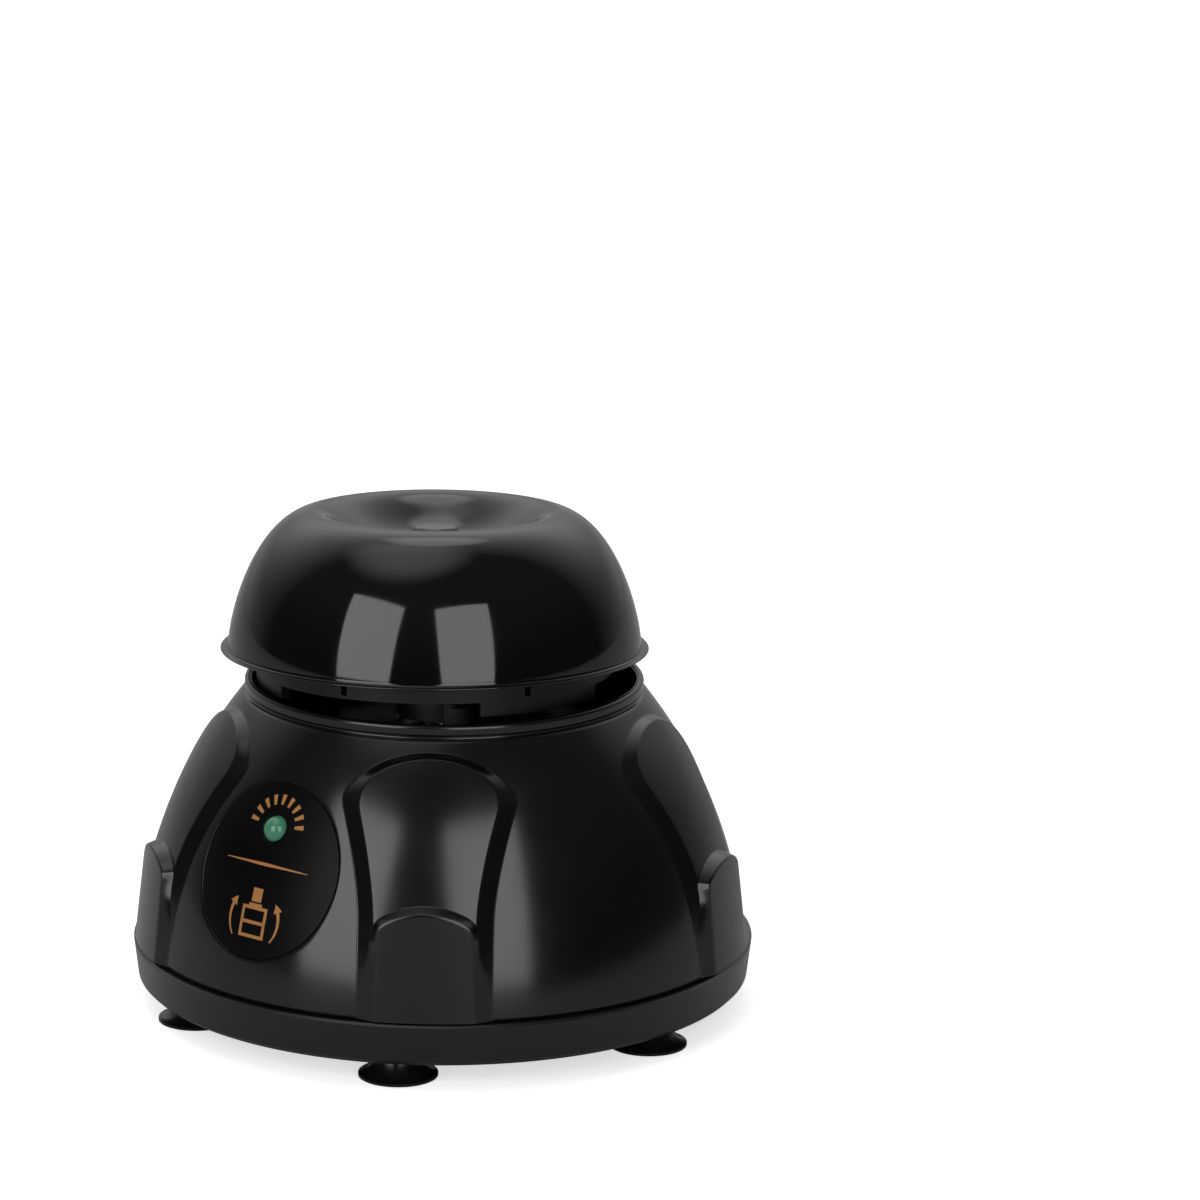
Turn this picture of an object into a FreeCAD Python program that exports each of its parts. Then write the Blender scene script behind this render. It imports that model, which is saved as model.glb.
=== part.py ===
import FreeCAD, Part
import math
import os
from FreeCAD import Vector, Rotation, Placement

os.makedirs("parts", exist_ok=True)

# Orbital bottle shaker: a domed plastic housing on six suction feet, with a dished head
# that a motor inside moves round a small circle without turning it.
# Origin: centre of the footprint, on the surface it stands on. +Z up, badge towards -Y.
# Azimuths are in degrees from -Y (the front) towards +X.

# Driving dimensions, in millimetres and degrees

# Bottom tray
TRAY_BOTTOM_Z = 4.6
TRAY_RIM_Z = 12.4
TRAY_RIM_RADIUS = 58.0
TRAY_DRAFT = 0.8
TRAY_WALL = 2.2
TRAY_FLOOR = 2.2

# Housing: dome between the seam and the neck, with five raised arches
SEAM_STEP = 1.4
DOME_ARC_RADIUS = 90.5
DOME_ARC_Z = 2.5
NECK_Z = 59.0
HOUSING_WALL = 2.2
SEAM_GAP = 0.35
SPIGOT_DEPTH = 2.4
NECK_LIP_TOP_Z = 61.8
NECK_LIP_WIDTH = 1.5
NECK_LIP_STEP = 0.3
NECK_GROOVE = 0.7

PANEL_COUNT = 5
PANEL_FIRST = 36.0
PANEL_RELIEF = 1.2
PANEL_WALL_RUN = 3.0
PANEL_FLARE = 1.6
PANEL_TOP_SLOPE = 0.45
PANEL_START_Z = 24.0
PANEL_CORE_DEPTH = 7.3
SHOULDER_Z = 49.0
SHOULDER_HALF_WIDTH = 12.6
WAIST_Z = 30.0
WAIST_HALF_WIDTH = 9.0
ARCH_TOP_Z = 56.4
BLOCK_STANDS_PROUD = 0.8
BLOCK_DRAFT = 1.8
BLOCK_TOP_Z = 32.3
BLOCK_CORNER_Z = 28.9
BLOCK_HALF_WIDTH = 8.3
BLOCK_WALL_RUN = 2.9
BLOCK_LEDGE_SLOPE = 0.3
BLOCK_CORE_DEPTH = 12.6

# Feet
FOOT_COUNT = 6
FOOT_FIRST = 30.0
FOOT_INSET = 1.5
FOOT_RADIUS = 7.2
FOOT_STEM_RADIUS = 2.9
FOOT_WAIST_RADIUS = 4.2
FOOT_KNOB_RADIUS = 4.0
FOOT_KNOB_HEIGHT = 2.4

# Badge and lamp on the front
BADGE_WIDTH = 31.0
BADGE_HEIGHT = 32.6
BADGE_Z = 35.6
BADGE_RECESS = 0.5
BADGE_THICKNESS = 0.4
LAMP_Z = 42.6
LAMP_RADIUS = 2.45
LAMP_LENGTH = 7.0
LAMP_STANDS_PROUD = 1.5

# Head: a bowl turned over, with a dish in its crown
HEAD_RIM_Z = 66.9
HEAD_OVERHANG = 1.06
HEAD_LIP = 1.3
HEAD_LIP_HEIGHT = 1.1
CREST_Z = 92.65
CREST_RADIUS = 22.5
BOWL_POWER = 1.55
HEAD_WALL = 2.2
DISH_DEPTH = 6.5
DISH_FLOOR_RADIUS = 6.6
DISH_SKEW = 1.3

# Head base: plate, skirt and bearing hub under the bowl
HEAD_BASE_THICKNESS = 2.2
HEAD_BASE_INSET = 0.6
SKIRT_GAP = 0.65
SKIRT_WALL = 2.0
SKIRT_Z = 63.1
SKIRT_TAB_Z = 60.6
SKIRT_TAB_SWEEP = 48.0
SKIRT_TAB_START = 54.0
SKIRT_SLOT_WIDTH = 1.2
SKIRT_SLOT_HEIGHT = 2.6
SKIRT_SLOT_COUNT = 6
SKIRT_SLOT_FIRST = 10.0
HUB_WALL = 2.5
HUB_CAVITY = 2.6
HUB_BOSS_RADIUS = 7.0
HEAD_BOSS_RADIUS = 3.2

# Orbit drive: the crank pin leans a quarter turn behind its throw, so the head nods as it orbits
THROW = 1.8
THROW_AZIMUTH = -50.5
LEAN = 3.0
LEAN_LAG = 90.0
MOTOR_RADIUS = 13.85
MOTOR_LENGTH = 34.0
MOTOR_CAP_HEIGHT = 5.0
MOTOR_BOSS_RADIUS = 5.0
MOTOR_BOSS_HEIGHT = 2.0
MOTOR_SCREW_SPACING = 16.0
SHAFT_RADIUS = 1.6
SHAFT_REACH = 11.0
SHAFT_INSIDE = 11.0
ECCENTRIC_RADIUS = 7.0
ECCENTRIC_GAP = 2.6
ECCENTRIC_HEIGHT = 10.0
PIN_RADIUS = 4.0
PIN_SHOULDER_RADIUS = 5.4
PIN_ROOT_DEPTH = 3.0
PIN_GROOVE_DEPTH = 0.6
BEARING_OUTER_RADIUS = 11.0
BEARING_WIDTH = 7.0
BEARING_SEAT_Z = 66.3
BEARING_BALL_RADIUS = 1.95
BEARING_BALL_COUNT = 7
WEIGHT_RADIUS = 16.0
WEIGHT_HEIGHT = 4.5
WEIGHT_SEAT = 0.6

# Motor plate and what holds it
PLATE_TOP_Z = 51.5
PLATE_THICKNESS = 2.0
PLATE_GAP = 3.1
MOUNT_COUNT = 4
MOUNT_FIRST = 45.0
MOUNT_INSET = 3.8
MOUNT_BOSS_RADIUS = 3.4
ISOLATOR_RADIUS = 4.2
ISOLATOR_HEIGHT = 1.6
POST_COUNT = 3
POST_FIRST = 60.0
POST_CIRCLE = 23.0
POST_RADIUS = 1.8
POST_SLEEVE_RADIUS = 3.0
POST_TOP_Z = 72.4
POST_COLLAR_Z = 63.5

# Fasteners
SCREW_RADIUS = 1.5
SCREW_HEAD_RADIUS = 2.8
SCREW_HEAD_HEIGHT = 1.8
COLUMN_RADIUS = 3.8
COLUMN_INSET = 11.6
COLUMN_AZIMUTHS = (-120.0, -60.0, 60.0, 120.0)
CENTRE_SCREW_RADIUS = 2.0
CENTRE_HEAD_RADIUS = 4.2
CENTRE_HEAD_HEIGHT = 2.85
CENTRE_WASHER_RADIUS = 6.0
CENTRE_WASHER_HEIGHT = 1.0

# Switch on the rear arch
SWITCH_Z = 43.5
SWITCH_WIDTH = 10.5
SWITCH_HEIGHT = 15.0
SWITCH_FLANGE = 1.5
SWITCH_BODY_WIDTH = 8.6
SWITCH_BODY_HEIGHT = 13.0
SWITCH_BODY_DEPTH = 10.0
SWITCH_SEAT_DEPTH = 0.7
ROCKER_TILT = 10.0
ROCKER_WIDTH = 5.8
ROCKER_HEIGHT = 10.8
ROCKER_PIVOT_DEPTH = 0.8
ROCKER_DEPTH = 3.6
ROCKER_CROWN = 2.0
ROCKER_PIN_RADIUS = 0.9

# Power inlet on the rear block
JACK_Z = 21.5
JACK_FLANGE_RADIUS = 5.8
JACK_FLANGE_HEIGHT = 1.3
JACK_BODY_RADIUS = 4.0
JACK_BODY_LENGTH = 13.0
JACK_BORE_RADIUS = 2.8
JACK_BORE_DEPTH = 9.5
JACK_PIN_RADIUS = 1.05
JACK_SEAT_DEPTH = 0.9
JACK_NUT_RADIUS = 6.4
JACK_NUT_HEIGHT = 2.0

# Circuit board on the tray floor
BOARD_LENGTH = 30.0
BOARD_WIDTH = 16.0
BOARD_THICKNESS = 1.6
BOARD_STANDOFF = 3.0
BOARD_OFFSET = -30.0

# Clearances
FIT = 0.05
SLIP = 0.2
RUNNING = 0.35

ORIGIN = Vector(0, 0, 0)
UP = Vector(0, 0, 1)

# Levels and radii that follow from the sizes above
TRAY_FOOT_RADIUS = TRAY_RIM_RADIUS - TRAY_DRAFT
DOME_BASE_RADIUS = TRAY_RIM_RADIUS - SEAM_STEP
BLOCK_BASE_RADIUS = DOME_BASE_RADIUS + BLOCK_STANDS_PROUD
BLOCK_TOP_RADIUS = BLOCK_BASE_RADIUS - BLOCK_DRAFT
BLOCK_CORE_RADIUS = DOME_BASE_RADIUS - BLOCK_CORE_DEPTH
FOOT_CIRCLE = TRAY_FOOT_RADIUS - FOOT_RADIUS - FOOT_INSET
COLUMN_CIRCLE = DOME_BASE_RADIUS - COLUMN_INSET
FLOOR_TOP_Z = TRAY_BOTTOM_Z + TRAY_FLOOR
TRAY_INNER_RADIUS = TRAY_RIM_RADIUS - TRAY_WALL
SPIGOT_RADIUS = TRAY_INNER_RADIUS - SLIP
DOME_BOTTOM_Z = TRAY_RIM_Z + SEAM_GAP
PLATE_BOTTOM_Z = PLATE_TOP_Z - PLATE_THICKNESS
MOUNT_BOSS_Z = PLATE_TOP_Z + ISOLATOR_HEIGHT
DISH_FLOOR_Z = CREST_Z - DISH_DEPTH
DISH_UNDER_Z = DISH_FLOOR_Z - HEAD_WALL
HEAD_BASE_BOTTOM_Z = HEAD_RIM_Z + HEAD_BASE_INSET
HEAD_BASE_TOP_Z = HEAD_BASE_BOTTOM_Z + HEAD_BASE_THICKNESS
BEARING_TOP_Z = BEARING_SEAT_Z + BEARING_WIDTH
BEARING_CENTRE_Z = BEARING_SEAT_Z + BEARING_WIDTH / 2
MOTOR_BOSS_TOP_Z = PLATE_BOTTOM_Z + MOTOR_BOSS_HEIGHT
ECCENTRIC_BOTTOM_Z = MOTOR_BOSS_TOP_Z + ECCENTRIC_GAP
ECCENTRIC_TOP_Z = ECCENTRIC_BOTTOM_Z + ECCENTRIC_HEIGHT
COLUMN_FOOT_Z = FLOOR_TOP_Z + 2.4


def dome_radius(z, offset=0.0):
    """Radius of the dome at height z, on its outer face or a surface parallel to it."""
    centre = DOME_BASE_RADIUS - math.sqrt(DOME_ARC_RADIUS ** 2 - (TRAY_RIM_Z - DOME_ARC_Z) ** 2)
    return centre + math.sqrt((DOME_ARC_RADIUS + offset) ** 2 - (z - DOME_ARC_Z) ** 2)


def dome_slope(z):
    """Angle of the dome's outward normal above the horizontal, in degrees."""
    return math.degrees(math.asin((z - DOME_ARC_Z) / DOME_ARC_RADIUS))


NECK_RADIUS = dome_radius(NECK_Z)
NECK_OPENING_RADIUS = NECK_RADIUS - NECK_LIP_STEP - NECK_LIP_WIDTH
PANEL_CORE_RADIUS = NECK_RADIUS - PANEL_CORE_DEPTH
PLATE_RADIUS = dome_radius(PLATE_TOP_Z, -HOUSING_WALL) - PLATE_GAP
MOUNT_CIRCLE = PLATE_RADIUS - MOUNT_INSET
HEAD_RIM_RADIUS = NECK_RADIUS + HEAD_OVERHANG
SKIRT_RADIUS = NECK_OPENING_RADIUS - THROW - SKIRT_GAP
HEAD_BOSS_CIRCLE = SKIRT_RADIUS - SKIRT_WALL - HEAD_BOSS_RADIUS - RUNNING


def block_radius(z):
    share = (z - TRAY_RIM_Z) / (BLOCK_TOP_Z - TRAY_RIM_Z)
    return BLOCK_BASE_RADIUS + (BLOCK_TOP_RADIUS - BLOCK_BASE_RADIUS) * share


def steps(low, high, count):
    return [low + (high - low) * i / (count - 1) for i in range(count)]


def curve(points):
    spline = Part.BSplineCurve()
    spline.interpolate(points)
    return spline.toShape()


def dome_curve(low, high, offset):
    """The dome's profile from height low to high, moved out by offset."""
    ends = [Vector(dome_radius(z, offset), 0, z) for z in steps(low, high, 3)]
    return Part.Arc(*ends).toShape()


def cap_arc(radius, base_z, rise):
    """Arc of a round cap, from its edge to its top on the axis."""
    sphere = (radius ** 2 + rise ** 2) / (2 * abs(rise))
    half = math.asin(radius / sphere) / 2
    middle_z = base_z + math.copysign(sphere * (math.cos(half) - math.cos(2 * half)), rise)
    return Part.Arc(Vector(radius, 0, base_z), Vector(sphere * math.sin(half), 0, middle_z),
                    Vector(0, 0, base_z + rise)).toShape()


def lines(points):
    return [Part.makeLine(a, b) for a, b in zip(points, points[1:])]


def rz(*pairs):
    return [Vector(r, 0, z) for r, z in pairs]


def revolved(edges):
    return Part.Face(Part.Wire(edges)).revolve(ORIGIN, UP, 360)


def turned(*pairs):
    """A solid of revolution about Z from (radius, height) corners."""
    points = rz(*pairs)
    return revolved(lines(points + points[:1]))


def cylinder(radius, bottom, top, x=0.0, y=0.0):
    return Part.makeCylinder(radius, top - bottom, Vector(x, y, bottom), UP)


def tube(outer, inner, bottom, top, x=0.0, y=0.0):
    return cylinder(outer, bottom, top, x, y).cut(cylinder(inner, bottom, top, x, y))


def on_circle(radius, azimuth):
    """Place on a circle about Z, azimuth from -Y towards +X."""
    angle = math.radians(azimuth)
    return radius * math.sin(angle), -radius * math.cos(angle)


def on_crank(shape):
    """Lean a shape made on the motor's axis about the bearing's centre, and move it out by the throw."""
    shape = shape.copy()
    x, y = on_circle(1.0, THROW_AZIMUTH - LEAN_LAG)
    shape.rotate(Vector(0, 0, BEARING_CENTRE_Z), Vector(-y, x, 0), LEAN)
    return shape.translated(Vector(*on_circle(THROW, THROW_AZIMUTH), 0))


def spread(count, first=0.0):
    return [first + 360.0 * i / count for i in range(count)]


def faced(shape, azimuth):
    """Turn a shape made along +X so that it faces the given azimuth."""
    shape = shape.copy()
    shape.rotate(ORIGIN, UP, azimuth - 90.0)
    return shape


def seated(shape, azimuth, z, radius, slope):
    """Move a shape whose +Z points outwards from the surface to its place on the housing."""
    shape = shape.copy()
    tilt = Rotation(Vector(0, 1, 0), 90.0 - slope)
    shape.Placement = Placement(Vector(radius, 0, z), tilt).multiply(shape.Placement)
    return faced(shape, azimuth)


def polygon_prism(sections):
    """A smooth loft through closed polygons at rising heights."""
    wires = [Part.makePolygon(points + points[:1]) for points in sections]
    return Part.makeLoft(wires, True, True)


def save(name, *solids):
    shape = solids[0] if len(solids) == 1 else Part.makeCompound(list(solids))
    shape.exportStep("parts/" + name + ".step")


def arch_flanks(levels):
    """Tapering body between the two side walls of an arch.

    Each level is (z, foot radius, foot half width, face radius, face half width); the walls
    run through the foot and the face line and on past both."""
    inside = -0.8
    outside = 2.4
    sections = []
    for z, foot_r, foot_w, face_r, face_w in levels:
        foot_x = math.sqrt(foot_r ** 2 - foot_w ** 2)
        face_x = math.sqrt(face_r ** 2 - face_w ** 2)
        x_in = foot_x + inside * (face_x - foot_x)
        x_out = foot_x + outside * (face_x - foot_x)
        w_in = foot_w + inside * (face_w - foot_w)
        w_out = foot_w + outside * (face_w - foot_w)
        sections.append([Vector(x_in, -w_in, z), Vector(x_out, -w_out, z),
                         Vector(x_out, w_out, z), Vector(x_in, w_in, z)])
    return polygon_prism(sections)


def under_arch(near, far):
    """Everything under a round arch whose outline shrinks from the plane near to the plane far.

    near and far are (x, apex z, half width at the corners, corner z)."""
    arcs = []
    for x, apex_z, width, corner_z in (near, far):
        rise = apex_z - corner_z
        radius = (width ** 2 + rise ** 2) / (2 * rise)
        arcs.append(Part.Arc(Vector(x, -radius, apex_z - radius), Vector(x, 0, apex_z),
                             Vector(x, radius, apex_z - radius)).toShape())
    arch = Part.makeRuledSurface(*arcs).extrude(Vector(0, 0, -NECK_Z))
    wide = 2 * TRAY_RIM_RADIUS
    below = Part.makeBox(wide, wide, near[3], Vector(0, -wide / 2, 0))
    return arch.fuse(below)


def panel_half_width(z):
    """Half width of a panel's face: straight below the waist, flaring to the shoulder."""
    share = max(0.0, (z - WAIST_Z) / (SHOULDER_Z - WAIST_Z))
    return WAIST_HALF_WIDTH + (SHOULDER_HALF_WIDTH - WAIST_HALF_WIDTH) * share ** PANEL_FLARE


def upper_panel():
    """The arched face of a panel, facing +X: it follows the dome and narrows to the waist."""
    top = NECK_Z - 0.8
    bottom = PANEL_START_Z
    levels = [(z, dome_radius(z), panel_half_width(z) + PANEL_WALL_RUN,
               dome_radius(z, PANEL_RELIEF), panel_half_width(z))
              for z in (bottom, WAIST_Z, 35.0, 40.0, 44.5, SHOULDER_Z, top)]
    profile = [dome_curve(bottom, top, PANEL_RELIEF)]
    profile += lines(rz((dome_radius(top, PANEL_RELIEF), top), (PANEL_CORE_RADIUS, top),
                        (PANEL_CORE_RADIUS, bottom), (dome_radius(bottom, PANEL_RELIEF), bottom)))
    face_x = math.sqrt(dome_radius(SHOULDER_Z, PANEL_RELIEF) ** 2 - SHOULDER_HALF_WIDTH ** 2)
    foot_x = math.sqrt(dome_radius(SHOULDER_Z) ** 2 - (SHOULDER_HALF_WIDTH + PANEL_WALL_RUN) ** 2)
    widening = PANEL_WALL_RUN / (face_x - foot_x)
    apex_x = dome_radius(ARCH_TOP_Z, PANEL_RELIEF)
    planes = []
    for x in (face_x - 9.5, face_x + 3.5):
        planes.append((x, ARCH_TOP_Z + PANEL_TOP_SLOPE * (apex_x - x),
                       SHOULDER_HALF_WIDTH + widening * (face_x - x), SHOULDER_Z))
    return revolved(profile).common(arch_flanks(levels)).common(under_arch(*planes))


def lower_block():
    """The upright block that a panel stands on, facing +X, with a sloping round-topped ledge."""
    top = BLOCK_TOP_Z + 2.0
    bottom = DOME_BOTTOM_Z
    levels = [(z, dome_radius(z), BLOCK_HALF_WIDTH + BLOCK_WALL_RUN, block_radius(z), BLOCK_HALF_WIDTH)
              for z in (bottom, 20.0, 27.0, top)]
    core = turned((BLOCK_CORE_RADIUS, bottom), (block_radius(bottom), bottom),
                  (block_radius(top), top), (BLOCK_CORE_RADIUS, top))
    planes = []
    for x, width in ((BLOCK_CORE_RADIUS, BLOCK_HALF_WIDTH + 2 * BLOCK_WALL_RUN),
                     (BLOCK_BASE_RADIUS + 1.0, BLOCK_HALF_WIDTH - 0.3)):
        planes.append((x, BLOCK_TOP_Z + BLOCK_LEDGE_SLOPE * (BLOCK_TOP_RADIUS - x), width, BLOCK_CORNER_Z))
    return core.common(arch_flanks(levels)).common(under_arch(*planes))


def housing_dome():
    """The revolved wall of the housing with its spigot, seam ledge, neck groove and lip."""
    lip_outer = NECK_RADIUS - NECK_LIP_STEP
    lip_inner = NECK_OPENING_RADIUS
    lip_round = NECK_LIP_WIDTH / 2
    crown = Part.Arc(Vector(lip_outer, 0, NECK_LIP_TOP_Z - lip_round),
                     Vector((lip_outer + lip_inner) / 2, 0, NECK_LIP_TOP_Z),
                     Vector(lip_inner, 0, NECK_LIP_TOP_Z - lip_round)).toShape()
    ledge = SPIGOT_RADIUS + 0.5
    inside_top = NECK_Z - 3.0
    inner_top = dome_radius(inside_top, -HOUSING_WALL)
    inner_base = dome_radius(DOME_BOTTOM_Z, -HOUSING_WALL)
    groove = NECK_RADIUS - NECK_GROOVE
    edges = lines(rz((SPIGOT_RADIUS, TRAY_RIM_Z), (ledge, TRAY_RIM_Z), (ledge, DOME_BOTTOM_Z),
                     (dome_radius(DOME_BOTTOM_Z), DOME_BOTTOM_Z)))
    edges.append(dome_curve(DOME_BOTTOM_Z, NECK_Z, 0))
    edges += lines(rz((NECK_RADIUS, NECK_Z), (groove, NECK_Z + 0.2), (groove, NECK_Z + 0.7),
                      (lip_outer, NECK_Z + 0.9), (lip_outer, NECK_LIP_TOP_Z - lip_round)))
    edges.append(crown)
    edges += lines(rz((lip_inner, NECK_LIP_TOP_Z - lip_round), (lip_inner, NECK_Z - 1.0),
                      (inner_top, inside_top)))
    edges.append(dome_curve(DOME_BOTTOM_Z, inside_top, -HOUSING_WALL))
    edges += lines(rz((inner_base, DOME_BOTTOM_Z), (inner_base, TRAY_RIM_Z - SPIGOT_DEPTH),
                      (SPIGOT_RADIUS, TRAY_RIM_Z - SPIGOT_DEPTH), (SPIGOT_RADIUS, TRAY_RIM_Z)))
    return revolved(edges)


def dome_core(shrink, low=FLOOR_TOP_Z):
    """Solid under the dome's wall, used to trim bosses to the inside of the housing."""
    top = NECK_Z - 1.0
    base = dome_radius(TRAY_RIM_Z, -shrink)
    edges = [dome_curve(TRAY_RIM_Z, top, -shrink)]
    edges += lines(rz((dome_radius(top, -shrink), top), (0, top), (0, low), (base, low), (base, TRAY_RIM_Z)))
    return revolved(edges)


def oval_prism(width, height, depth):
    """Oval block about the origin, with its long axis along X and its depth along Z."""
    outline = Part.Ellipse(Vector(0, 0, -depth), width / 2, height / 2).toShape()
    return Part.Face(Part.Wire([outline])).extrude(Vector(0, 0, 2 * depth))


def badge_place(shape):
    return seated(shape, 0.0, BADGE_Z, dome_radius(BADGE_Z), dome_slope(BADGE_Z))


def lamp_place(shape):
    return seated(shape, 0.0, LAMP_Z, dome_radius(LAMP_Z), dome_slope(LAMP_Z))


def switch_place(shape):
    radius = dome_radius(SWITCH_Z, PANEL_RELIEF)
    return seated(shape, 180.0, SWITCH_Z, radius, dome_slope(SWITCH_Z))


def jack_place(shape):
    return seated(shape, 180.0, JACK_Z, block_radius(JACK_Z), 0.0)


def box(width, height, bottom, top, round_=0.0):
    """Block centred on Z; its height lies up the slope and its width across it."""
    block = Part.makeBox(height, width, top - bottom, Vector(-height / 2, -width / 2, bottom))
    if round_ > 0:
        uprights = [e for e in block.Edges if abs(e.tangentAt(e.FirstParameter).z) > 0.99]
        block = block.makeFillet(round_, uprights)
    return block


def body_shell():
    hollow = dome_core(HOUSING_WALL * 0.5, DOME_BOTTOM_Z - SPIGOT_DEPTH)
    raised = upper_panel().fuse(lower_block()).cut(hollow)
    shell = housing_dome().fuse([faced(raised, azimuth) for azimuth in spread(PANEL_COUNT, PANEL_FIRST)])

    inside = dome_core(HOUSING_WALL * 0.5)
    columns = []
    for azimuth in COLUMN_AZIMUTHS:
        x, y = on_circle(COLUMN_CIRCLE, azimuth)
        columns.append(cylinder(COLUMN_RADIUS, COLUMN_FOOT_Z, NECK_Z - 2.0, x, y))
    for azimuth in spread(MOUNT_COUNT, MOUNT_FIRST):
        x, y = on_circle(MOUNT_CIRCLE, azimuth)
        columns.append(cylinder(MOUNT_BOSS_RADIUS, MOUNT_BOSS_Z, NECK_Z - 1.0, x, y))
        x, y = on_circle(MOUNT_CIRCLE + MOUNT_BOSS_RADIUS, azimuth)
        columns.append(cylinder(MOUNT_BOSS_RADIUS * 0.6, MOUNT_BOSS_Z, NECK_Z - 1.0, x, y))
    shell = shell.fuse([column.common(inside) for column in columns])

    holes = []
    for azimuth in COLUMN_AZIMUTHS:
        x, y = on_circle(COLUMN_CIRCLE, azimuth)
        holes.append(cylinder(SCREW_RADIUS + FIT, COLUMN_FOOT_Z, COLUMN_FOOT_Z + 9.0, x, y))
    for azimuth in spread(MOUNT_COUNT, MOUNT_FIRST):
        x, y = on_circle(MOUNT_CIRCLE, azimuth)
        holes.append(cylinder(SCREW_RADIUS + FIT, MOUNT_BOSS_Z, NECK_Z - 2.6, x, y))
    holes.append(badge_recess())
    holes.append(lamp_place(cylinder(LAMP_RADIUS + 0.75, -9.0, 3.0)))
    holes.append(switch_place(box(SWITCH_WIDTH + SLIP, SWITCH_HEIGHT + SLIP, -SWITCH_SEAT_DEPTH, 4.0, 0.8)))
    holes.append(switch_place(box(SWITCH_BODY_WIDTH + SLIP, SWITCH_BODY_HEIGHT + SLIP, -9.0, 1.0)))
    holes.append(jack_place(cylinder(JACK_FLANGE_RADIUS + SLIP, -JACK_SEAT_DEPTH, 4.0)))
    holes.append(jack_place(cylinder(JACK_BODY_RADIUS + SLIP, -9.0, 1.0)))
    holes.append(jack_place(cylinder(JACK_NUT_RADIUS + 0.6, -14.0, -JACK_SEAT_DEPTH - HOUSING_WALL)))
    save("body_shell", shell.cut(holes))


def badge_skin(shrink, low, high):
    """The layer of the dome between two offsets, inside the badge's oval."""
    top = NECK_Z - 2.0
    edges = [dome_curve(TRAY_RIM_Z, top, high)]
    edges += lines(rz((dome_radius(top, high), top), (dome_radius(top, low), top)))
    edges.append(dome_curve(TRAY_RIM_Z, top, low))
    edges += lines(rz((dome_radius(TRAY_RIM_Z, low), TRAY_RIM_Z), (dome_radius(TRAY_RIM_Z, high), TRAY_RIM_Z)))
    oval = oval_prism(BADGE_HEIGHT - 2 * shrink, BADGE_WIDTH - 2 * shrink, 7.0)
    return revolved(edges).common(badge_place(oval))


def badge_recess():
    return badge_skin(0.0, -BADGE_RECESS, 2.0)


def badge_plate():
    plate = badge_skin(SLIP, -BADGE_RECESS, BADGE_THICKNESS - BADGE_RECESS)
    save("badge_plate", plate.cut(lamp_place(cylinder(LAMP_RADIUS + 0.1, -4.0, 4.0))))


def lamp():
    rise = LAMP_RADIUS * 0.8
    edge = LAMP_STANDS_PROUD - rise
    profile = lines(rz((0, -LAMP_LENGTH), (LAMP_RADIUS, -LAMP_LENGTH), (LAMP_RADIUS, edge)))
    profile.append(cap_arc(LAMP_RADIUS, edge, rise))
    profile += lines(rz((0, LAMP_STANDS_PROUD), (0, -LAMP_LENGTH)))
    save("power_lamp", lamp_place(revolved(profile)))
    collar = tube(LAMP_RADIUS + 0.7, LAMP_RADIUS + FIT, -4.5, -BADGE_RECESS - 0.1)
    flange = tube(LAMP_RADIUS + 1.7, LAMP_RADIUS + FIT, -4.5, -HOUSING_WALL - 0.9)
    save("lamp_holder", lamp_place(collar.fuse(flange).removeSplitter()))
    leads = [Part.makeCylinder(0.3, 6.0, Vector(side, 0, -LAMP_LENGTH - 6.0)) for side in (-1.27, 1.27)]
    save("lamp_leads", *[lamp_place(lead) for lead in leads])


def base_tray():
    profile = lines(rz((0, TRAY_BOTTOM_Z), (TRAY_FOOT_RADIUS - 0.8, TRAY_BOTTOM_Z),
                       (TRAY_FOOT_RADIUS, TRAY_BOTTOM_Z + 0.8), (TRAY_RIM_RADIUS, TRAY_RIM_Z - 0.4),
                       (TRAY_RIM_RADIUS - 0.4, TRAY_RIM_Z), (TRAY_INNER_RADIUS, TRAY_RIM_Z),
                       (TRAY_INNER_RADIUS, FLOOR_TOP_Z), (0, FLOOR_TOP_Z), (0, TRAY_BOTTOM_Z)))
    tray = revolved(profile)
    bosses = []
    holes = []
    for azimuth in COLUMN_AZIMUTHS:
        x, y = on_circle(COLUMN_CIRCLE, azimuth)
        bosses.append(cylinder(SCREW_HEAD_RADIUS + 2.0, FLOOR_TOP_Z, COLUMN_FOOT_Z, x, y))
        holes.append(cylinder(SCREW_RADIUS + SLIP, TRAY_BOTTOM_Z, COLUMN_FOOT_Z, x, y))
        holes.append(cylinder(SCREW_HEAD_RADIUS + SLIP, TRAY_BOTTOM_Z,
                              TRAY_BOTTOM_Z + SCREW_HEAD_HEIGHT + 0.8, x, y))
    for azimuth in spread(FOOT_COUNT, FOOT_FIRST):
        x, y = on_circle(FOOT_CIRCLE, azimuth)
        holes.append(cylinder(FOOT_STEM_RADIUS, TRAY_BOTTOM_Z, FLOOR_TOP_Z, x, y))
    for x in (-BOARD_LENGTH / 2 + 3.0, BOARD_LENGTH / 2 - 3.0):
        bosses.append(cylinder(3.0, FLOOR_TOP_Z, FLOOR_TOP_Z + BOARD_STANDOFF, x, BOARD_OFFSET))
        holes.append(cylinder(SCREW_RADIUS + FIT, TRAY_BOTTOM_Z + 1.0,
                              FLOOR_TOP_Z + BOARD_STANDOFF, x, BOARD_OFFSET))
    slot = Part.makeBox(12.0, 2.0, TRAY_FLOOR, Vector(12.0, -1.0, TRAY_BOTTOM_Z))
    vents = [faced(slot, azimuth) for azimuth in spread(12, 15.0)]
    save("base_tray", tray.fuse(bosses).cut(holes + vents))


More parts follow.
